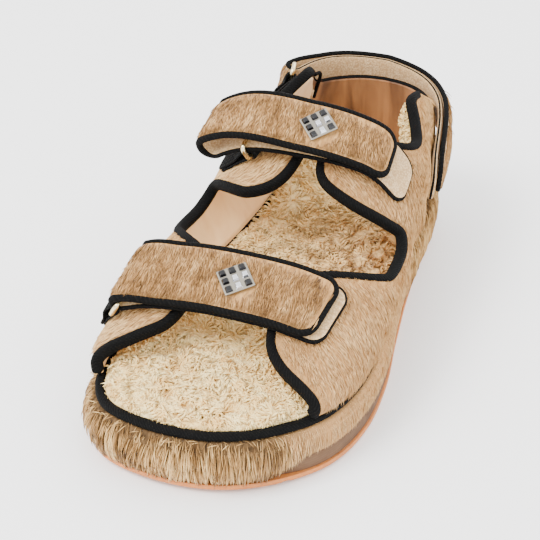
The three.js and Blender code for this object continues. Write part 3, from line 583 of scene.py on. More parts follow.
def wool(name, curls):
    """Cream pile, browner and more mottled in the middle of the foot, the brown partly painted shade that
    grows towards the outer side.
    """
    paint = Paint(name, Roughness=.9, Sheen_Weight=.12, Sheen_Roughness=.5, Specular_IOR_Level=.1)
    here, place = paint.space(), paint.place()
    middle = paint.times(paint.span(place["Y"], -.058, -.038), paint.span(place["Y"], .075, .03))
    # painted shade: the brown mottling in the middle of the foot is made stronger towards the outer side,
    # where the footbed lies in shade
    mottle_and_shade = paint.times(middle, paint.span(place["X"], -.03, .02, .35, .95))
    spots = paint.span(paint.noise(here, 150, 4, .6, .4), .40, .62)
    cream = paint.ramp(paint.noise(here, 130, 4, .55), (.32, rgb(238, 198, 124)), (.6, rgb(255, 229, 164)))
    brown = paint.ramp(spots, (.0, rgb(238, 200, 136)), (1, rgb(146, 102, 54)))
    colour = paint.blend(mottle_and_shade, cream, brown)
    if curls:
        # painted shade: each tuft is darker at its root, as shade deep in the pile
        root_shade = paint.ramp(paint.attribute("tip"), (0, (.95, .92, .86)), (.4, (1, 1, 1)))
        colour = paint.blend(1.0, colour, root_shade, 'MULTIPLY')
        shade = paint.ramp(paint.attribute("tone"), (0, (.92, .90, .86)), (1, (1.0, 1.0, 1.0)))
        colour = paint.blend(1.0, colour, shade, 'MULTIPLY')
    paint.colour(colour)
    soft = .25 if curls else .9
    paint.bump((paint.noise(here, 420, 5, .65, .5), soft, 1.6), (paint.noise(here, 1500, 3), soft / 2, .5))
    return paint.material


WOOL = wool("shearling pad", False)
WOOL_CURLS = wool("shearling curls", True)

# %% Leather, tape and fabric
def leather(name, light, dark, heel_shades=None):
    """Lining leather, darker at the heel where two shades, light and dark, are given for it."""
    paint = Paint(name, Roughness=.5, Specular_IOR_Level=.35, Sheen_Weight=.15, Sheen_Roughness=.5)
    here = paint.space()
    folds = paint.noise(paint.space((1, 1, .16)), 95, 3, .5, .6)
    cloudy = paint.noise(here, 55, 3)
    # painted shade: the colour darkens in the folds that the bump dents; the cloudy part is the leather's own
    # tone
    shade = paint.plus(paint.times(folds, .6), paint.times(cloudy, .4))
    colour = paint.ramp(shade, (.34, dark), (.62, light))
    if heel_shades:
        back = paint.span(paint.place()["Y"], .045, .068)
        # at the heel the folds are painted much darker, as shade in the creases
        colour = paint.blend(back, colour, paint.ramp(folds, (.35, heel_shades[1]), (.62, heel_shades[0])))
    paint.colour(colour)
    paint.rough(paint.span(paint.noise(here, 300, 4), .3, .7, .42, .62))
    pores = paint.add("TexVoronoi", {"Vector": here, "Scale": 900.0}).outputs["Distance"]
    paint.bump((folds, .55, 1.4), (paint.noise(here, 260, 5, .6), .3, .5), (pores, .12, .15))
    return paint.material


LINING = leather("lining leather", rgb(252, 210, 150), rgb(240, 190, 130),
                 (rgb(160, 110, 66), rgb(92, 56, 30)))
LOBE = leather("ankle lobe pad", rgb(252, 218, 170), rgb(238, 196, 144))


def tape(name, ridges):
    """Black twill: diagonal cords round the fold, with the lint that wool leaves on it."""
    paint = Paint(name, Roughness=.9, Specular_IOR_Level=.1)
    twill = paint.wave(paint.space(turn=(0, 0, .7), uv=True), ridges, 'X', .6)
    fuzz = paint.noise(paint.space(), 1300, 4, .7)
    lint = paint.times(twill, paint.span(fuzz, .4, .75))
    paint.colour(paint.blend(lint, rgb(5, 5, 5), rgb(24, 23, 22)))
    paint.bump((twill, .6, .3), (fuzz, .4, .3))
    return paint.material


BINDING = tape("black twill tape", 300.0)
PIPING = tape("black rope piping", 210.0)


def webbing(name):
    paint = Paint(name, rgb(16, 16, 16), Roughness=.9, Specular_IOR_Level=.12)
    place = paint.space(uv=True)
    weave = paint.times(paint.wave(place, 160, 'X'), paint.wave(place, 160, 'Y'))
    paint.colour(paint.blend(weave, rgb(8, 8, 8), rgb(36, 35, 34)))
    paint.bump((weave, .8, .4), (paint.noise(paint.space(), 1500, 3), .3, .2))
    return paint.material


def fabric(name):
    """Hook-and-loop backing: a dense sand-coloured looped face."""
    paint = Paint(name, Roughness=.95, Sheen_Weight=.1, Sheen_Roughness=.6, Specular_IOR_Level=.1)
    here = paint.space()
    loops = paint.add("TexVoronoi", {"Vector": here, "Scale": 1100.0}).outputs["Distance"]
    clouds = paint.noise(here, 160, 4, .6)
    sand = paint.ramp(clouds, (.3, rgb(204, 172, 126)), (.7, rgb(226, 200, 158)))
    paint.colour(paint.blend(paint.span(loops, 0, .7), sand, rgb(172, 138, 96)))
    paint.bump((loops, -.7, .5), (paint.noise(here, 700, 4), .5, .4))
    return paint.material


TAB, LOOP = webbing("black webbing"), fabric("loop fabric")


# %% Rubber, foam, metal and stones
def rubber():
    paint = Paint("crepe rubber", Roughness=.62, Specular_IOR_Level=.4)
    here = paint.space()
    crumbs = paint.noise(here, 500, 5, .65)
    dirt = paint.span(paint.noise(here, 45, 4, .6, .5), .45, .75)
    colour = paint.ramp(crumbs, (.3, rgb(178, 100, 44)), (.7, rgb(208, 132, 68)))
    paint.colour(paint.blend(paint.times(dirt, .35), colour, rgb(150, 104, 68)))
    paint.rough(paint.span(crumbs, .3, .7, .5, .75))
    paint.bump((crumbs, .5, .4), (paint.noise(here, 120, 3), .25, .8))
    return paint.material


def foam():
    paint = Paint("foam band", Roughness=.78, Specular_IOR_Level=.25)
    here = paint.space()
    cells = paint.add("TexVoronoi", {"Vector": here, "Scale": 1500.0}).outputs["Distance"]
    lines = paint.wave(here, 260, 'Z', 1.0)
    colour = paint.ramp(paint.noise(here, 90, 4), (.3, rgb(86, 62, 44)), (.7, rgb(114, 86, 62)))
    paint.colour(paint.blend(paint.times(lines, .22), colour, rgb(70, 50, 36)))
    paint.bump((cells, .35, .25), (lines, .22, .3))
    return paint.material


def metal(name, colour, low=.16, high=.34):
    paint = Paint(name, colour, Metallic=1.0)
    scratches = paint.noise(paint.space((1, 1, .2)), 1600, 4, .7)
    paint.rough(paint.span(scratches, .3, .7, low, high))
    paint.bump((scratches, .08, .1))
    return paint.material


def stone(name, colour, metallic):
    paint = Paint(name, colour, Metallic=metallic, Coat_Weight=.3, Coat_Roughness=.04,
                  Specular_IOR_Level=.3)
    paint.rough(paint.span(paint.noise(paint.space(), 1500, 2), .3, .7, .06, .16))
    return paint.material


RUBBER, FOAM, METAL = rubber(), foam(), metal("pale gold", rgb(228, 212, 168))
SETTING = metal("pale setting", rgb(150, 144, 132), .25, .45)
BLACK_STONE = stone("black stone", rgb(12, 12, 14), 0.0)
SILVER_STONE = stone("silver stone", rgb(214, 214, 218), .9)

# %% [markdown]
# ## The sole
# Under the shearling lie a foam platform and a thin rubber outsole whose orange edge shows all round. Both
# are rings of one outline at several insets, so the toe's spring and the arch run through them together.

# %% Outsole and foam band
def clipped_share(along, side):
    """1 at the outer forefoot, where the wrap is cut short and the foam shows, and 0 elsewhere."""
    return np.where(side > 0, ease(along, .30, .45) * (1 - ease(along, .88, .97)), 0)


def fringe_share(along, side):
    return 1 - CLIP_DEPTH * clipped_share(along, side)


STATIONS = 150
ring_turn = np.concatenate([np.linspace(0, 1, STATIONS + 1), np.linspace(1, 0, STATIONS + 1)[1:-1]])
ring_side = np.concatenate([np.ones(STATIONS + 1), -np.ones(STATIONS - 1)])
ring_along = along_at(ring_turn)


def sole_ring(profile):
    rows = []
    for inset, height in profile:
        edge = sole_edge(ring_turn, ring_side, inset)
        rows.append(np.column_stack([edge, np.broadcast_to(height, ring_along.shape)]))
    return np.array(rows)


under = spring(ring_along)
outsole = finish(lay("outsole_rubber", sole_ring([
    (1.2, under), (.3, under + .2), (-.5, under + .7), (-.8, under + 1.3), (-.8, under + 2.6),
    (-.55, under + 2.95), (1, under + 3)]), ring=True), RUBBER, replaces="outsole", slot="outsole_rubber")
cutters = []
for along in np.linspace(.06, .94, GROOVE_COUNT):
    bpy.ops.mesh.primitive_cube_add(
        size=.001, location=metres((0, -LENGTH * along, spring(along))), rotation=(0, 0, GROOVE_TURN),
        scale=(GROOVE_REACH * BALL_WIDTH, GROOVE_WIDTH, 2 * GROOVE_DEPTH))
    cutters.append(bpy.context.object)
cutter = join(cutters[-1], cutters)
modify(outsole, 'BOOLEAN', operation='DIFFERENCE', object=cutter)
bpy.data.objects.remove(cutter)
bpy.ops.object.mode_set(mode='EDIT')
bpy.ops.mesh.select_mode(type='EDGE')
bpy.ops.mesh.select_all(action='DESELECT')
bpy.ops.mesh.edges_select_sharp(sharpness=np.radians(40))
bpy.ops.mesh.mark_sharp()
bpy.ops.object.mode_set(mode='OBJECT')
print("the outsole with", GROOVE_COUNT, "grooves has", count_triangles(outsole), "triangles")
top = under + OUTSOLE_THICKNESS + BAND_HEIGHT
band = mix(BAND_INSET, .1, clipped_share(ring_along, ring_side))
band_profile = [(band + .4, under + 3.1), (band, under + 3.6), (band, top - 1.6), (band + .8, top - .8),
                (BAND_INSET + 1.4, top - .6), (WRAP_THICKNESS + GAP, top),
                (WRAP_THICKNESS + GAP, rim_height(ring_along) - GAP)]
finish(lay("foam_band", sole_ring(band_profile), ring=True), FOAM, replaces="midsole", slot="midsole_foam")

# %% [markdown]
# ## The calf wrap
# A strip of long-haired calf is glued round the platform and hangs down over the foam. Its skin is made
# here as a closed band; the long hair is planted on it later. At the outer forefoot it is cut short, and
# the foam shows.

# %% Wrap skin
bulge = WRAP_BULGE * mix(.45, 1, fringe_share(ring_along, ring_side))
hem = top - FRINGE_LENGTH * fringe_share(ring_along, ring_side)
brim = rim_height(ring_along) - GAP
belly = (brim + top) / 2
wrap_profile = [(RIM_INSET - .6, brim), (.6, brim - 1), (0, brim - 2.6), (-bulge * .7, belly + 2.5),
                (-bulge, belly), (-bulge, mix(belly, top, .6)), (-bulge * .8, top),
                (-.6, mix(top, hem, .5)), (.4, hem), (BAND_INSET - GAP, hem + .5),
                (BAND_INSET - GAP, top + GAP), (WRAP_THICKNESS, top + GAP), (WRAP_THICKNESS, brim)]
wrap = finish(lay("wrap_skin", sole_ring(wrap_profile), ring=True, tube=True), WRAP_SKIN,
              replaces="platform_wrap", slot="fringe_calf")

# %% Rim binding
rim_edge = sole_edge(ring_turn, ring_side, RIM_INSET - RIM_SINK + RIM_WIDTH / 2)
rim_line = np.column_stack([rim_edge, rim_height(ring_along) + RIM_HEIGHT / 2])
finish(sweep("rim_cord", rim_line, np.broadcast_to((0., 0., 1.), rim_line.shape),
             rounded(RIM_WIDTH, RIM_HEIGHT, 14, 2.6), ring=True), BINDING,
       replaces="rim_binding", slot="black_binding")

# %% [markdown]
# ## The footbed
# The insole is a shearling pad, cupped at the heel, its pile standing in soft lumps of about a centimetre.
# The lumps are real relief, because they catch the light through the open toe and the window.

# %% Shearling insole
FOOT_STATIONS, FOOT_COLUMNS = 200, 90


def lumps(points, size, seed):
    """Soft round lumps about 1 high, from the distances to scattered centres."""
    flat = points.reshape(-1, 3) / size + seed
    near = np.array([noise.voronoi(Vector(p))[0][:2] for p in flat])
    return (1 - np.clip(near[:, 0] / .85, 0, 1) ** 2).reshape(points.shape[:-1])


def insole_points():
    turn = np.linspace(.035, .975, FOOT_STATIONS)
    inset = RIM_INSET - RIM_SINK + RIM_WIDTH + GAP
    outer, inner = sole_edge(turn, 1, inset), sole_edge(turn, -1, inset)
    share = np.linspace(0, 1, FOOT_COLUMNS)
    share = mix(share, (1 - np.cos(np.pi * share)) / 2, .5)[:, None]
    spot = inner[None] + (outer - inner)[None] * share[..., None]
    along = -spot[..., 1] / LENGTH
    half = np.linalg.norm(outer - inner, axis=1)[None] / 2
    rim_gap = (1 - abs(2 * share - 1)) * half
    ends = np.minimum(-spot[..., 1] - inset, LENGTH + spot[..., 1] - inset)
    to_rim = np.maximum(0, np.minimum(rim_gap, ends))
    shoulder = np.sqrt(ease(to_rim, -1, INSOLE_SHOULDER + 3))
    height = rim_height(along) + mix(RIM_HEIGHT - 1.4, INSOLE_PILE, shoulder)
    height = height - INSOLE_CUP * (1 - ease(along, .3, .6)) * ease(to_rim, 3, 24)
    flat = np.stack([spot[..., 0], spot[..., 1], 0 * height], axis=-1)
    relief = 3.0 * lumps(flat, 13, 3.1) + 1.2 * lumps(flat, 6, 7.7) - 2.5
    height = height + relief * ease(to_rim, 0, 6)
    return np.stack([spot[..., 0], spot[..., 1], height], axis=-1)


insole = finish(lay("shearling_insole", insole_points()), WOOL, WOOL, wall=3,
                replaces="insole", slot="shearling")

# %% [markdown]
# ## The upper
# One wall of hair calf goes from the inner toe edge round the heel to the outer toe edge. It is laid as a
# sheet up to the collar, the window is cut from it along the pattern's line, and Solidify gives the 3 mm of
# calf and lining. The main creases are pressed in first, where the foot bends and the straps pull.

# %% The sheet, the window and the creases
UPPER_STATIONS, UPPER_COLUMNS = 170, 46


def pattern_edges():
    turns, edges, sides = [], [], []
    for side in (-1, 1):
        part = EDGES[side]
        rows = [*part["collar"], *part["rear slit"], part["window"][0], part["window"][-1],
                *part["front slit"], *part["toe"]]
        turn, across = smooth_run(rows, UPPER_STATIONS + 1)
        keep = slice(None, 0, -1) if side < 0 else slice(None)
        turns.append(turn[keep])
        edges.append(across[keep])
        sides.append(np.full(len(turn[keep]), side))
    return np.concatenate(turns), np.concatenate(edges), np.concatenate(sides)


def inside(loop, x, y):
    """Whether places lie inside a closed loop."""
    hit = np.zeros(x.shape, bool)
    for (ax, ay), (bx, by) in zip(loop, np.roll(loop, -1, axis=0)):
        if ay != by:
            hit ^= ((ay > y) != (by > y)) & (x < (bx - ax) * (y - ay) / (by - ay) + ax)
    return hit


# creases as (side, start along, start across, end along, end across, depth in mm, half width in mm)
CREASES = [
    (1, .60, .97, .66, .62, -1.0, 5), (1, .665, .98, .70, .60, -1.3, 6), (1, .73, .98, .745, .62, -.9, 5),
    (1, .52, .98, .56, .78, -.8, 6), (1, .42, .95, .47, .72, -1.0, 7), (1, .30, .97, .37, .66, -1.1, 7),
    (1, .17, .96, .24, .70, -.9, 7), (1, .635, .98, .675, .66, .7, 5), (1, .36, .97, .42, .70, .7, 7),
    (-1, .60, -.97, .66, -.70, -1.0, 5), (-1, .68, -.98, .70, -.62, -1.2, 6),
    (-1, .44, -.96, .47, -.80, -.9, 6), (-1, .30, -.96, .36, -.68, -1.1, 7),
    (-1, .18, -.95, .24, -.68, -.9, 7), (-1, .38, -.96, .42, -.60, .7, 7)]


def creased(points, normals, sides):
    out = np.zeros(points.shape[:-1])
    for side, a0, c0, a1, c1, depth, half in CREASES:
        share = np.linspace(0, 1, 9)
        line = last_point(turn_at(mix(a0, a1, share)), mix(c0, c1, share))
        gap = np.full(out.shape, 1e9)
        fade = np.zeros(out.shape)
        for k, spot in enumerate(line):
            away = np.linalg.norm(points - spot, axis=-1)
            fade = np.where(away < gap, np.sin(np.pi * (k + 1) / 10), fade)
            gap = np.minimum(gap, away)
        out += depth * fade * np.exp(-(gap / half) ** 2)
    return points + normals * out[..., None]


station_turn, station_edge, station_side = pattern_edges()
climb = np.linspace(0, 1, UPPER_COLUMNS + 1)[:, None] ** 1.4
sheet_across = mix(station_side[None], station_edge[None], climb)
sheet_turn = np.broadcast_to(station_turn, sheet_across.shape).copy()
window = np.concatenate([np.column_stack(smooth_run(rows, 80)) for rows in (
    EDGES[1]["window"], EDGES[-1]["window"][::-1])]) * (TURN_SCALE, CROSS_SCALE)
x, y = sheet_turn * TURN_SCALE, sheet_across * CROSS_SCALE
cell = [(k[1:, 1:] + k[:-1, 1:] + k[1:, :-1] + k[:-1, :-1]) / 4 for k in (x, y)]
cut = inside(window, *cell)
touch, kept = np.zeros(x.shape, bool), np.zeros(x.shape, bool)
for i in (0, 1):
    for j in (0, 1):
        touch[i:i + cut.shape[0], j:j + cut.shape[1]] |= cut
        kept[i:i + cut.shape[0], j:j + cut.shape[1]] |= ~cut
dense = np.concatenate([mix(window, np.roll(window, -1, axis=0), f) for f in (0, .25, .5, .75)])
for i, j in np.argwhere(touch & kept):
    x[i, j], y[i, j] = dense[((dense - (x[i, j], y[i, j])) ** 2).sum(1).argmin()]
sheet_turn, sheet_across = x / TURN_SCALE, y / CROSS_SCALE
sheet = creased(last_point(sheet_turn, sheet_across), last_normal(sheet_turn, sheet_across), station_side)
sheet[0, :, 2] = rim_height(along_at(sheet_turn[0])) + RIM_HEIGHT + GAP
upper = finish(lay("calf_upper", sheet, drop=cut, flip=True), CALF, LINING, wall=WALL,
               replaces="upper", slot="hair_calf")

# %% [markdown]
# ## Edge bindings
# A folded black tape closes the cut edge of each side, from the ankle lobe over the throat, the window and
# the toe. It follows the same line as the cut, so a sweep along that line fits it all the way.

# %% Bindings
TAPE_STATIONS = 320
binding_lines = {}
for side, name in ((1, "lateral_binding"), (-1, "medial_binding")):
    part = EDGES[side]
    rows = [*part["collar"][BOUND_FROM:], *part["rear slit"], *part["window"], *part["front slit"],
            *part["toe"]]
    turn, across = smooth_run(rows, TAPE_STATIONS)
    line = on_last(turn, across, np.full(TAPE_STATIONS, -WALL / 2))
    away = np.minimum(np.arange(TAPE_STATIONS), np.arange(TAPE_STATIONS)[::-1]) * 1.1
    tip = np.sqrt(1 - np.clip(1 - away / 2.4, 0, .98) ** 2)
    binding_lines[side] = line
    finish(sweep(name + "_tape", line, last_normal(turn, across),
                 rounded(BINDING_WIDTH, WALL + 2 * BINDING_PROUD, 16, 2.8), size=tip), BINDING,
           replaces=name, slot="black_binding")


# %% [markdown]
# ## Collar edge and ankle lobes
# Round the heel the collar has only a thin black cord. Inside the inner ankle lobe sits a smooth peach
# patch whose rear end is bound in black, and inside the outer lobe a shearling pad. Both are laid on the
# inside of the wall, from just under the collar downwards, and swell in the middle.

# %% Collar cord, inner patch and outer pad
CORD_STATIONS, LOBE_COLUMNS, LOBE_ROWS = 60, 40, 26


def collar_run(side, start, end, count):
    """Even shares along part of the collar, with the places across of its edge there."""
    turn, across = smooth_run(EDGES[side]["collar"], 400)
    along = np.linspace(start, end, count)
    return along, np.interp(along, along_at(turn), across)


halves = []
for side in (1, -1):
    along, across = collar_run(side, 0, .135, CORD_STATIONS)
    halves.append(on_last(turn_at(along), across - side * .004, np.full(CORD_STATIONS, -WALL / 2)))
cord_line = np.concatenate([halves[0][:0:-1], halves[1]])
upwards = np.broadcast_to((0., 0., 1.), cord_line.shape)
finish(sweep("collar_cord", cord_line, upwards, rounded(2.8, 1.0, 10, 2)), BINDING, slot="black_binding")


def lobe_pad(name, side, start, end, bottom, swell, wall, material):
    """A pad between the collar and a line below it, on the inside of the wall."""
    along, edge = collar_run(side, start, end, LOBE_COLUMNS)
    share = np.linspace(0, 1, LOBE_ROWS)[:, None]
    inwards = np.minimum(along - start, end - along)
    round_off = .12 * (1 - np.sqrt(1 - np.clip(1 - inwards / .03, 0, 1) ** 2))
    across = mix(edge + side * (.03 + round_off), side * (bottom - round_off), share)
    turn = np.broadcast_to(turn_at(along), across.shape)
    dome = np.sqrt(np.sin(np.pi * share ** .7)) * np.sqrt(np.sin(np.pi * np.linspace(0, 1, LOBE_COLUMNS)))
    face = on_last(turn, across, -(WALL + GAP + wall + swell * dome))
    back = on_last(turn, across, -(WALL + GAP + 0 * dome))
    zones = [0] * (LOBE_ROWS - 1) + [1] * (LOBE_ROWS + 1)
    pad = lay(name, np.concatenate([face, back[::-1]]), tube=True, zones=zones)
    return finish(pad, material, material)


inner_patch = lobe_pad("inner_lobe_patch", -1, .105, .33, bottom=.80, swell=.8, wall=.8, material=LOBE)
turn, across = smooth_run([(.140, -.485), (.120, -.50), (.103, -.56), (.097, -.64), (.099, -.74)],
                          CORD_STATIONS)
patch_end = on_last(turn, across, np.full(CORD_STATIONS, -(WALL + .9)))
finish(sweep("inner_lobe_cord", patch_end, last_normal(turn, across), rounded(1.8, 1.8, 10, 2)), BINDING,
       slot="black_binding")
outer_pad = lobe_pad("outer_lobe_pad", 1, .115, .34, bottom=.84, swell=7, wall=1.5, material=WOOL)

# %% [markdown]
# ## Straps
# Each strap is one strip of calf backed with loop fabric. It is sewn to the outer quarter, crosses the
# foot, turns round its ring and comes back on top. A strip's course is asked from the last station by
# station, so its twist and its turn are those of a real strip.

# %% The course of a strip
FRONT = dict(name="front", rear=(.682, .700), front=(.796, .824), anchor=.47, free=.41, fold=-.47,
             tab_start=-.84, radius=3.1, fold_lift=5, crown_lift=0, rest=.3, ring_share=None)
INSTEP = dict(name="instep", rear=(.357, .367), front=(.446, .460), anchor=.56, free=.39, fold=-.47,
              tab_start=-.57, radius=5.4, fold_lift=9.6, crown_lift=3.8, rest=.9, ring_share=.8)
HEEL = dict(name="heel", top=(.55, .58, .76), bottom=(.82, .85, .93), anchor=.365, free=.345, fold=-.235,
            tab_start=-.315, radius=3.1, fold_lift=4.2, crown_lift=0, rest=.15, ring_share=None)


def crossing(strap):
    def course(t):
        share = np.clip((strap["free"] - t) / (strap["free"] - strap["fold"]), 0, 1)
        return [(mix(*strap[edge], share), t) for edge in ("rear", "front")]
    return course


def round_heel(strap):
    def height(edge, t):
        medial, back, lateral = strap[edge]
        return np.where(t < 0, -mix(back, medial, ease(t / strap["fold"], 0, 1)),
                        mix(back, lateral, np.clip(t / strap["anchor"], 0, 1)))

    def course(t):
        return [(along_at(abs(t)), height(edge, t)) for edge in ("top", "bottom")]
    return course


def station(course, t):
    t = np.asarray(t, float)
    (rear_along, rear_across), (front_along, front_across) = course(t)
    rear = last_point(turn_at(rear_along), rear_across)
    front = last_point(turn_at(front_along), front_across)
    turn, across = turn_at((rear_along + front_along) / 2), (rear_across + front_across) / 2
    width = front - rear
    up = last_normal(turn, across)
    up = unit(up - width * dot(up, width) / dot(width, width))
    centre = (rear + front) / 2
    centre = centre + up * np.maximum(0, dot(last_point(turn, across) - centre, up))
    return centre, up, unit(width), np.linalg.norm(width, axis=-1) / 2


def turning(course, start, fold, lift):
    centre, up, wide, reach = station(course, fold)
    out = centre - station(course, mix(fold, start, .02))[0]
    out = unit(out - up * dot(out, up) - wide * dot(out, wide))
    return dict(pin=centre + up * lift, out=out, up=up, wide=wide, reach=float(reach))


def folded(course, start, fold, end, rise, radius, rest, thickness, corner, steps=70, bend=None):
    """Places, facing, width direction and half width along a strip that turns back on itself."""
    def layer(origin, lift, facing):
        tip = corner * (1 - np.cos(np.linspace(0, np.pi / 2, 9)))[:-1]
        span = np.linalg.norm(station(course, origin)[0] - station(course, fold)[0])
        away = np.r_[tip, np.linspace(corner, span, steps)[:-1]]
        t = mix(origin, fold, away / span)
        centre, up, wide, reach = station(course, t)
        left = np.clip(corner - away, 0, corner)
        reach = reach - corner + np.sqrt(corner ** 2 - left ** 2)
        height = rise((start - t) / (start - fold)) + lift(away, span)
        return centre + up * height[:, None], up * facing, wide, reach

    def settle(away, span):
        return mix(2 * radius, thickness + GAP, ease(span - away, 0, rest * span))

    bend = bend or turning(course, start, fold, rise(1.0) + radius)
    angle = np.linspace(0, np.pi, 17)[:, None]
    radial = bend["out"] * np.sin(angle) - bend["up"] * np.cos(angle)
    below = layer(start, lambda away, span: 0 * away, -1)
    above = layer(end, settle, 1)
    arc = (bend["pin"] + radial * radius, radial, np.broadcast_to(bend["wide"], radial.shape),
           np.full(17, bend["reach"]))
    return [np.concatenate([b, a, o[::-1]]) for b, a, o in zip(below, arc, above)]


def ribbon(name, path, thickness, columns=15):
    """A strip with soft long edges; its outer face is zone 0, its inner face zone 1."""
    place, face, wide, reach = path
    s = np.sin(np.linspace(-1, 1, columns) * np.pi / 2)
    puff = thickness / 2 * (1 - .45 * abs(s) ** 6)
    outer = place[None] + wide[None] * (s[:, None] * reach)[..., None] + face[None] * puff[:, None, None]
    inner = place[None] + wide[None] * (s[:, None] * reach)[..., None] - face[None] * puff[:, None, None]
    zones = [0] * (columns - 1) + [1] * (columns + 1)
    return lay(name, np.concatenate([outer, inner[::-1]]), tube=True, zones=zones)


def border(path, inset=0.0, end=True):
    """The closed line round a strip's edge, with the direction that faces away from its cloth."""
    place, face, wide, reach = path
    near, far = place - wide * (reach - inset)[:, None], place + wide * (reach - inset)[:, None]
    f = np.linspace(0, 1, 12)[1:-1, None]
    ends = [mix(near[-1], far[-1], f), mix(far[0], near[0], f)]
    line = np.concatenate([near, ends[0], far[::-1], ends[1]])
    facing = np.concatenate([face, np.repeat(face[-1:], 10, 0), face[::-1], np.repeat(face[:1], 10, 0)])
    return line, facing


# %% The three straps with their rings and tabs
def ring_wire(name, near, far, wide, reach):
    out = unit(far - near)
    gap = np.linalg.norm(far - near)
    long, bend = reach + RING_WIRE / 2 + 2 * GAP, min(2, .4 * gap)
    path = []
    for index, (a, b) in enumerate(((1, 1), (-1, 1), (-1, -1), (1, -1))):
        for angle in np.linspace(index, index + 1, 7) * np.pi / 2:
            path.append(near + wide * (a * (long - bend) + bend * np.cos(angle))
                        + out * (gap / 2 + b * (gap / 2 - bend) + bend * np.sin(angle)))
    up = np.broadcast_to(np.cross(wide, out), (len(path), 3))
    return sweep(name, np.array(path), up, rounded(RING_WIRE, RING_WIRE, 12, 2), ring=True)


def past(course, fold, end, distance):
    share = np.linspace(0, 1, 101)
    away = np.linalg.norm(station(course, mix(fold, end, share))[0] - station(course, fold)[0], axis=1)
    beyond = np.flatnonzero(away >= distance)
    return mix(fold, end, share[beyond[0]] if len(beyond) else 1.0)


def strap_rise(strap, share):
    """How high a strap's lower layer runs above the last, from its anchor (0) to its fold (1)."""
    anchored = GAP + STRAP_THICKNESS / 2
    carried = BINDING_PROUD + STRAP_LIFT + STRAP_THICKNESS / 2 + strap["crown_lift"]
    lifted = (strap["fold_lift"] - carried) * ease(share, .5, .9)
    return mix(anchored, carried, ease(share, .02, .3)) + lifted


def fastening(strap, course):
    name, anchor, fold, radius = strap["name"], strap["anchor"], strap["fold"], strap["radius"]

    def rise(share):
        return strap_rise(strap, share)

    path = folded(course, anchor, fold, strap["free"], rise, radius, strap["rest"], STRAP_THICKNESS,
                  STRAP_CORNER)
    finish(ribbon(name + "_strip", path, STRAP_THICKNESS), LOOP if name == "heel" else CALF, LOOP,
           replaces=name + "_strap", slot="strap_calf")

    bend = turning(course, anchor, fold, rise(1.0) + radius)
    wire = RING_WIRE / 2
    hug = STRAP_THICKNESS / 2 + GAP + wire
    tab_radius, tab_rise = wire + GAP + TAB_THICKNESS / 2, GAP + TAB_THICKNESS / 2 + TAB_LIFT
    if strap["ring_share"] is None:
        near = bend["pin"] + bend["out"] * (radius - hug)
        far = near + bend["out"] * RING_REACH + bend["up"] * (tab_rise + tab_radius - rise(1.0) - radius)
        bar, tab_fold = bend, past(course, fold, strap["tab_start"], RING_REACH)
    else:
        tab_fold = mix(anchor, fold, strap["ring_share"])
        centre, up, wide, reach = station(course, tab_fold)
        near = centre + up * (rise(strap["ring_share"]) + hug)
        far = centre + up * (rise(strap["ring_share"]) - hug - TAB_THICKNESS - GAP)
        bar = dict(up=up, wide=wide, reach=float(reach))
    finish(ring_wire(name + "_loop", near, far, bar["wide"], bar["reach"]), METAL,
           replaces=name + "_ring", slot="ring_metal")

    narrow_share = 1 - 2 * GAP / bar["reach"]

    def narrow(t):
        rear, front = course(t)
        half = [(a + b) / 2 for a, b in zip(rear, front)]
        return [tuple(h + (v - h) * narrow_share for h, v in zip(half, edge)) for edge in (rear, front)]

    back = turning(narrow, strap["tab_start"], tab_fold, 0)
    back.update(wide=bar["wide"], reach=bar["reach"] * narrow_share, pin=far)
    back["out"] = unit(back["out"] - bar["wide"] * dot(back["out"], bar["wide"]))
    back["up"] = unit(np.cross(back["out"], bar["wide"]))
    if dot(back["up"], bar["up"]) < 0:
        back["up"] = -back["up"]
    foot = station(course, tab_fold)
    far_lift = max(tab_rise, float(dot(far - foot[0], foot[1])[0]) - tab_radius)
    tab_path = folded(narrow, strap["tab_start"], mix(tab_fold, strap["tab_start"], .12), strap["tab_start"],
                      lambda share: mix(tab_rise, far_lift, share ** 2), tab_radius, .5, TAB_THICKNESS,
                      TAB_CORNER, steps=14, bend=back)
    finish(ribbon(name + "_webbing", tab_path, TAB_THICKNESS, 9), TAB, TAB,
           replaces=name + "_tab", slot="black_tab")
    return path


strap_paths = {}
for strap, course in ((FRONT, crossing(FRONT)), (INSTEP, crossing(INSTEP)), (HEEL, round_heel(HEEL))):
    strap_paths[strap["name"]] = fastening(strap, course)

# %% Piping round each strap
for name, path in strap_paths.items():
    line, facing = border(path, .3)
    count = len(path[0])
    over = ease(np.arange(count), count * .46, count * .5)
    least, most = (.35, .72) if name == "heel" else (.62, 1)
    size = mix(least, most, np.concatenate([over, np.ones(10), over[::-1], np.zeros(10)]))
    finish(sweep(name + "_piping", line, facing, rounded(3.0, 3.4, 10, 2), ring=True, size=size), PIPING,
           slot="black_binding")

# %% [markdown]
# ## The ornament
# A lozenge of square-cut stones sits on each crossing strap. One stone is modelled, with bevelled facets,
# and copied to its places; black and silver take turns. The settings are one thin plate.

# %% Stones on a plate
def primitive_stone():
    bpy.ops.object.select_all(action='DESELECT')
    bpy.ops.mesh.primitive_cone_add(vertices=4, radius1=.68 * STONE_SIZE * .001,
                                    radius2=.42 * STONE_SIZE * .001, depth=STONE_HEIGHT * .001)
    piece = bpy.context.object
    modify(piece, 'BEVEL', width=.00022, segments=2)
    bpy.ops.object.shade_flat()
    return piece


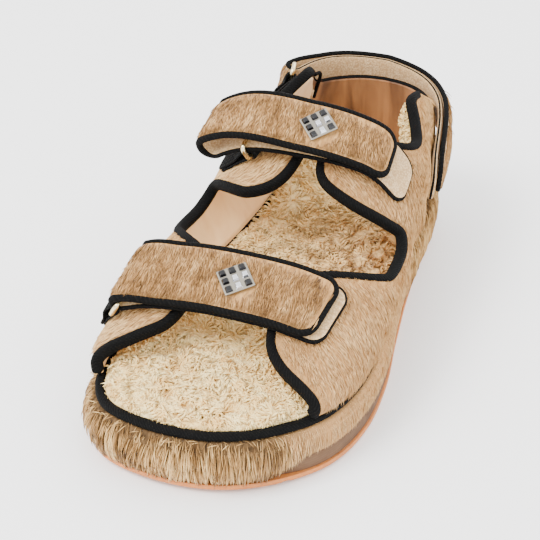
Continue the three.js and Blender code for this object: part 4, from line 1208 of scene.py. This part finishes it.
def badge(strap, course):
    t = mix(strap["free"], strap["fold"], BADGE_AT)
    centre, up, wide, _ = station(course, t)
    lift = strap_rise(strap, (strap["anchor"] - t) / (strap["anchor"] - strap["fold"]))
    gap = mix(2 * strap["radius"], STRAP_THICKNESS + GAP, ease(1 - BADGE_AT, 0, strap["rest"]))
    centre = centre + up * (lift + gap + STRAP_THICKNESS / 2 + BADGE_LIFT)
    turn = np.column_stack([unit(np.cross(wide, up)), wide, up])
    rows, pitch = (1, 2, 3, 2, 1), 1.25 * STONE_SIZE * .001
    stones = []
    model = primitive_stone()
    for r, count in enumerate(rows):
        for k in range(count):
            only(model)
            bpy.ops.object.duplicate()
            copy = bpy.context.object
            copy.location = ((k - (count - 1) / 2) * pitch * 2 ** .5, (r - 2) * pitch / 2 ** .5,
                             (BADGE_PLATE + STONE_HEIGHT / 2 - GAP) * .001)
            bpy.ops.object.transform_apply(location=True)
            copy.data.materials.clear()
            copy.data.materials.append(SILVER_STONE if (r + k) % 2 else BLACK_STONE)
            stones.append(copy)
    bpy.data.objects.remove(model)
    jewel = join(stones[0], stones)
    jewel.name = strap["name"] + "_stones"
    bpy.ops.object.select_all(action='DESELECT')
    plate_reach = 2.5 * pitch / 2 ** .5 + STONE_SIZE * .0005
    bpy.ops.mesh.primitive_cylinder_add(vertices=4, radius=plate_reach, depth=BADGE_PLATE * .001,
                                        location=(0, 0, BADGE_PLATE * .0005))
    plate = bpy.context.object
    plate.name = strap["name"] + "_setting"
    bpy.ops.object.transform_apply(location=True)
    modify(plate, 'BEVEL', width=.0004, segments=3)
    plate.data.materials.append(SETTING)
    for piece in (jewel, plate):
        spots = values(piece.data.vertices, 'co', 3) @ turn.T + metres(centre)
        piece.data.vertices.foreach_set('co', spots.ravel())
        piece.data.update()
        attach(piece, "root")
    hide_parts(strap["name"] + "_badge")
    print(jewel.name, count_triangles(jewel), "triangles")
    return centre


badge_places = {strap["name"]: badge(strap, crossing(strap)) for strap in (FRONT, INSTEP)}

# %% [markdown]
# ## Hair
# A coat is thousands of the same lock. One lock is modelled as a tapering three-sided horn that leans over
# and lies along +X. Its roots are sown over a skin by area, each with a direction to be combed in, a length
# and a shade, and Geometry Nodes puts a copy on every root and makes them real.

# %% One lock, sown and planted
COAT_LOCKS, STRAP_LOCKS, HEEL_STRAP_LOCKS, WRAP_LOCKS, WRAP_KEPT = 25500, 9500, 8200, 30000, 11200
FOREFOOT_TUFTS, LOBE_TUFTS, HEEL_TUFTS, INSTEP_AT = 23000, 1400, 7600, .42
COAT_NAP, STRAP_NAP, FRINGE_NAP, CLIPPED_NAP, STONES_CLEAR = 5.0, 5.5, 13.0, 4.6, 8.5
rng = np.random.default_rng(7)


def lock(name, steps):
    """A horn through (reach, lift, radius) steps, its tip closed to a point, 1 long."""
    bpy.ops.object.select_all(action='DESELECT')
    bpy.ops.mesh.primitive_circle_add(vertices=3, radius=1, fill_type='NGON', rotation=(0, np.pi / 2, 0))
    piece = bpy.context.object
    piece.name = name
    bpy.ops.object.transform_apply(rotation=True)
    bpy.ops.object.mode_set(mode='EDIT')
    bpy.ops.mesh.select_all(action='SELECT')
    bpy.ops.transform.resize(value=(steps[0][2],) * 3)
    for (x0, z0, r0), (x1, z1, r1) in zip(steps, steps[1:]):
        bpy.ops.mesh.extrude_region_move(TRANSFORM_OT_translate={"value": (x1 - x0, 0, z1 - z0)})
        if r1:
            bpy.ops.transform.resize(value=(r1 / r0,) * 3)
        else:
            bpy.ops.mesh.merge(type='CENTER')
    bpy.ops.mesh.select_all(action='SELECT')
    bpy.ops.mesh.normals_make_consistent(inside=False)
    bpy.ops.object.mode_set(mode='OBJECT')
    bpy.ops.object.shade_smooth()
    reach = values(piece.data.vertices, 'co', 3)[:, 0]
    tip = piece.data.attributes.new("tip", 'FLOAT', 'POINT')
    tip.data.foreach_set('value', np.clip(reach / steps[-1][0], 0, 1))
    print(name, "has", count_triangles(piece), "triangles")
    return piece


def sow(piece, count):
    """Places by area on a piece's outer face, in mm, with the directions that it faces there."""
    mesh = piece.data
    mesh.calc_loop_triangles()
    zones = values(mesh.polygons, 'material_index', kind=int)
    faces = values(mesh.loop_triangles, 'polygon_index', kind=int)
    corners = values(mesh.loop_triangles, 'vertices', 3, int)[zones[faces] == 0]
    spots, facing = values(mesh.vertices, 'co', 3), values(mesh.vertex_normals, 'vector', 3)
    a, b, c = (spots[corners[:, k]] for k in range(3))
    area = np.linalg.norm(np.cross(b - a, c - a), axis=1)
    pick = rng.choice(len(area), count, p=area / area.sum())
    u, v = rng.random((2, count, 1))
    u, v = np.where(u + v > 1, 1 - u, u), np.where(u + v > 1, 1 - v, v)
    place = a[pick] + (b - a)[pick] * u + (c - a)[pick] * v
    normal = sum(facing[corners[pick, k]] for k in range(3))
    return place * 1000 - shift, unit(normal)


def nearest(points, line):
    tree = kdtree.KDTree(len(line))
    for k, spot in enumerate(line):
        tree.insert(spot, k)
    tree.balance()
    found = [tree.find(p)[1:] for p in points]
    return np.array([k for k, _ in found]), np.array([d for _, d in found])


def swirl(points, size, seed=0.0):
    """A soft random number for each place, from about -1 to 1, alike within the given size."""
    return np.array([noise.noise(Vector(p)) for p in points / size + seed])


def plant(name, template, roots, grow, comb, nap, tone, material, slot):
    """A copy of the template on every root; grow is where it stands to, comb where it leans to."""
    comb = unit(comb - grow * dot(comb, grow))
    mesh = bpy.data.meshes.new(name)
    mesh.vertices.add(len(roots))
    mesh.vertices.foreach_set('co', metres(roots).ravel())
    for key, kind, value in (("grow", 'FLOAT_VECTOR', grow), ("comb", 'FLOAT_VECTOR', comb),
                             ("nap", 'FLOAT', nap * .001), ("tone", 'FLOAT', tone)):
        layer = mesh.attributes.new(key, kind, 'POINT')
        field = 'vector' if kind == 'FLOAT_VECTOR' else 'value'
        layer.data.foreach_set(field, np.ascontiguousarray(value).ravel())
    piece = bpy.data.objects.new(name, mesh)
    bpy.context.collection.objects.link(piece)

    group = bpy.data.node_groups.new(name, 'GeometryNodeTree')
    group.interface.new_socket("Geometry", in_out='INPUT', socket_type='NodeSocketGeometry')
    group.interface.new_socket("Geometry", in_out='OUTPUT', socket_type='NodeSocketGeometry')
    kinds = ("NodeGroupInput", "NodeGroupOutput", "GeometryNodeInstanceOnPoints",
             "GeometryNodeRealizeInstances", "GeometryNodeObjectInfo", "FunctionNodeAlignRotationToVector",
             "FunctionNodeAlignRotationToVector")
    entry, leave, copies, real, model, stand, lean = (group.nodes.new(kind) for kind in kinds)

    def read(key, kind):
        node = group.nodes.new("GeometryNodeInputNamedAttribute")
        node.data_type = kind
        node.inputs["Name"].default_value = key
        return node.outputs["Attribute"]

    model.inputs["Object"].default_value = template
    stand.axis, lean.axis, lean.pivot_axis = 'Z', 'X', 'Z'
    for source, target in (
            (read("grow", 'FLOAT_VECTOR'), stand.inputs["Vector"]),
            (stand.outputs["Rotation"], lean.inputs["Rotation"]),
            (read("comb", 'FLOAT_VECTOR'), lean.inputs["Vector"]),
            (entry.outputs[0], copies.inputs["Points"]),
            (model.outputs["Geometry"], copies.inputs["Instance"]),
            (lean.outputs["Rotation"], copies.inputs["Rotation"]),
            (read("nap", 'FLOAT'), copies.inputs["Scale"]),
            (copies.outputs[0], real.inputs[0]), (real.outputs[0], leave.inputs[0])):
        group.links.new(source, target)
    modify(piece, 'NODES', node_group=group)
    for key in ("grow", "comb", "nap"):
        if key in piece.data.attributes:
            piece.data.attributes.remove(piece.data.attributes[key])
    piece.data.materials.clear()
    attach(piece, "root")
    return finish(piece, material, slot=slot)


SHORT_LOCK = lock("short lock", [(0, -.03, .032), (.42, .065, .040), (1, .055, 0)])
LONG_LOCK = lock("long lock", [(0, -.02, .022), (.35, .045, .031), (.72, .0, .026), (1, -.09, 0)])
WOOL_TUFT = lock("wool tuft", [(0, -.10, .10), (.34, .32, .125), (1, .40, 0)])

# %% The coat of the upper
def directions(*parts):
    """A direction for each root, from parts that are one number or one for each root."""
    return np.column_stack(np.broadcast_arrays(*parts))


roots, grow = sow(upper, COAT_LOCKS)
_, away = nearest(roots, np.concatenate([*binding_lines.values()]))
_, above = nearest(roots, rim_line)
# hair is trimmed short beside the black tapes, and raggedly above the rim cord
ragged = np.maximum(.4, (above - RIM_HEIGHT / 2 - .7) * rng.uniform(.4, 1.2, len(roots)))
trim = np.minimum(np.minimum(COAT_NAP, ragged), np.maximum(2.0, (away - BINDING_WIDTH / 2) * 2.0))
side = np.sign(roots[:, 0] + 1e-6)
comb = directions(side * .75, -.55, -.75)
heel_share = ease(-roots[:, 1], 60, 10)
fall = directions(side * .2, -.15, -1.0)
comb = mix(comb, fall, heel_share[:, None])
stray = swirl(roots, 24)[:, None] * .5 + rng.normal(0, .1, (len(roots), 1))
comb = unit(comb) + np.cross(grow, unit(comb)) * stray
open_skin = (away > 1.7) & (roots[:, 2] > rim_height(-roots[:, 1] / LENGTH) + RIM_HEIGHT + .4)
trim = trim * rng.uniform(.75, 1.15, len(roots))
tone = np.clip(rng.normal(.52, .15, len(roots)) + .25 * swirl(roots, 9, 4.0), 0, 1)
for name, mask in (("outer_coat", side > 0), ("inner_coat", side < 0)):
    k = mask & open_skin
    plant(name, SHORT_LOCK, roots[k], grow[k], comb[k], trim[k], tone[k], COAT, "hair_calf")

# %% The coat of the straps
for strap_name, path in strap_paths.items():
    place, _, wide, reach = path
    strip = bpy.data.objects[strap_name + "_strip"]
    roots, grow = sow(strip, HEEL_STRAP_LOCKS if strap_name == "heel" else STRAP_LOCKS)
    k, _ = nearest(roots, place)
    count = len(place)
    over = k > count * .47
    s = (dot(roots - place[k], wide[k]))[:, 0]
    run = np.gradient(place, axis=0)[k]
    margin = .8 if strap_name == "heel" else 1.9
    room = reach[k] - s - margin + .7
    rear_room = reach[k] + s - margin + .7
    keep = over & (room > .4) & (rear_room > .2)
    if strap_name in badge_places:
        keep &= np.linalg.norm(roots - badge_places[strap_name], axis=1) > STONES_CLEAR
    comb = wide[k] + unit(run) * (.18 + .3 * swirl(roots, 13)[:, None] + rng.normal(0, .13, (len(roots), 1)))
    nap = np.minimum(STRAP_NAP, np.maximum(1.2, room * 1.05)) * rng.uniform(.75, 1.15, len(roots))
    _, to_line = nearest(roots, border(path)[0])
    towards_end = dot(comb, unit(run))[:, 0] > -.1
    near_end = np.linalg.norm(roots - place[-1], axis=1) < reach[k] + 12
    trimmed = np.minimum(nap, np.maximum(1.0, (to_line - margin) * 1.3))
    nap = np.where(near_end & towards_end, trimmed, nap)
    keep &= to_line > margin + .1
    tone = np.clip(rng.normal(.48, .18, len(roots)) + .5 * swirl(roots * (1, .45, .45), 4, 2.0), 0, 1)
    plant(strap_name + "_strap_coat", SHORT_LOCK, roots[keep], grow[keep], comb[keep], nap[keep], tone[keep],
          STRAP_COAT, "strap_calf")

# %% The long hair of the wrap
roots, grow = sow(wrap, WRAP_LOCKS)
along = -roots[:, 1] / LENGTH
side = np.sign(roots[:, 0])
outward = grow[:, :2]
wall_top = rim_height(along)
wall_low = spring(along) + OUTSOLE_THICKNESS + BAND_HEIGHT
outer_face = roots[:, 2] > wall_low - FRINGE_LENGTH * .8
spine = directions(-2.0, np.clip(roots[:, 1], -LENGTH + 60, -40))
facing_out = ((roots[:, :2] - spine) * outward).sum(1)
outer_face &= facing_out > -.4 * (roots[:, 2] > wall_top - 1.2) * LENGTH
bare = clipped_share(along, side)
level = np.linalg.norm(outward, axis=1)
full_length = mix(FRINGE_NAP, CLIPPED_NAP, bare) * rng.uniform(.7, 1.15, len(roots)) * mix(.42, 1, level ** 3)
lowest = mix(spring(along) + 2.4, wall_low - .4, bare) - rng.uniform(-.6, .8, len(roots))
length = np.minimum(full_length, np.maximum(roots[:, 2] - lowest, 0) * 1.05)
outer_face &= length > mix(2.5, 1.4, bare)
comb = directions(rng.normal(0, .09, len(roots)), rng.normal(0, .09, len(roots)), -1.0)
sideways = directions(-outward[:, 1], outward[:, 0])
comb[:, :2] += (.5 - .3 * bare[:, None]) * swirl(roots, 6, 1.5)[:, None] * sideways
tone = np.clip(rng.normal(.42, .22, len(roots)) + .6 * (1 - .6 * bare) * swirl(roots * (1, 1, .3), 3.5, 6.0)
               + .34 * bare, 0, 1)
chosen = np.flatnonzero(outer_face & (rng.random(len(roots)) < mix(.75, 1, along > .5)))[:WRAP_KEPT]
half = along[chosen] > .5
upright = np.column_stack([outward, 0 * along])
grow = unit(mix(grow, upright, .4))
clipped = bare[chosen] > .5
for name, k, template, material in (
        ("toe_fringe", chosen[half & ~clipped], LONG_LOCK, FRINGE),
        ("heel_fringe", chosen[~half & ~clipped], LONG_LOCK, FRINGE),
        ("clipped_fringe", chosen[clipped], SHORT_LOCK, COAT)):
    plant(name, template, roots[k], grow[k], comb[k], length[k], tone[k], material, "fringe_calf")

# %% The pile of the footbed
def pile(name, piece, count, size, nap, seed, part=None):
    """Wool stands up and leans in soft clumps, a direction to each, and over the rim beside it."""
    roots, grow = sow(piece, count)
    if part:
        roots, grow = roots[part(roots)], grow[part(roots)]
    lean = np.column_stack([swirl(roots, size, seed + k) for k in (.3, 11.1, 23.7)])
    stray = rng.normal(0, .14, grow.shape)
    grow = unit(grow + 1.3 * lean + .5 * stray)
    comb = lean + stray + 1e-3
    tone = np.clip(rng.normal(.6, .2, len(roots)) + .5 * swirl(roots, size * .7, seed), 0, 1)
    k, to_rim = nearest(roots, rim_line)
    length = rng.uniform(*nap, len(roots))
    open_toe = ease(-roots[:, 1] / LENGTH, .80, .85)
    over_rim = ((1 - open_toe) * ease(to_rim, 7, 3))[:, None] * (piece == insole)
    outward = unit((rim_line[k] - roots) * (1, 1, 0))
    grow = unit(mix(grow, outward + (0, 0, .8), .7 * over_rim))
    comb = mix(comb, outward, over_rim)
    length = np.minimum(length, np.maximum(.8, to_rim - mix(.2, 1.2, open_toe)))
    return plant(name, WOOL_TUFT, roots, grow, comb, length, tone, WOOL_CURLS, "shearling")


pile("forefoot_pile", insole, FOREFOOT_TUFTS, 8.0, (3.2, 5.0), 5.0,
     part=lambda roots: roots[:, 1] < -INSTEP_AT * LENGTH)
pile("lobe_pile", outer_pad, LOBE_TUFTS, 5.0, (2.6, 3.6), 3.0)
pile("heel_pile", insole, HEEL_TUFTS, 8.0, (3.6, 5.2), 9.0,
     part=lambda roots: roots[:, 1] >= -INSTEP_AT * LENGTH)

for template in (SHORT_LOCK, LONG_LOCK, WOOL_TUFT):
    bpy.data.objects.remove(template)

# %% Finish
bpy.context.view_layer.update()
total = sum(count_triangles(piece) for piece in bpy.data.objects if piece.type == 'MESH')
print("in all", total, "triangles")
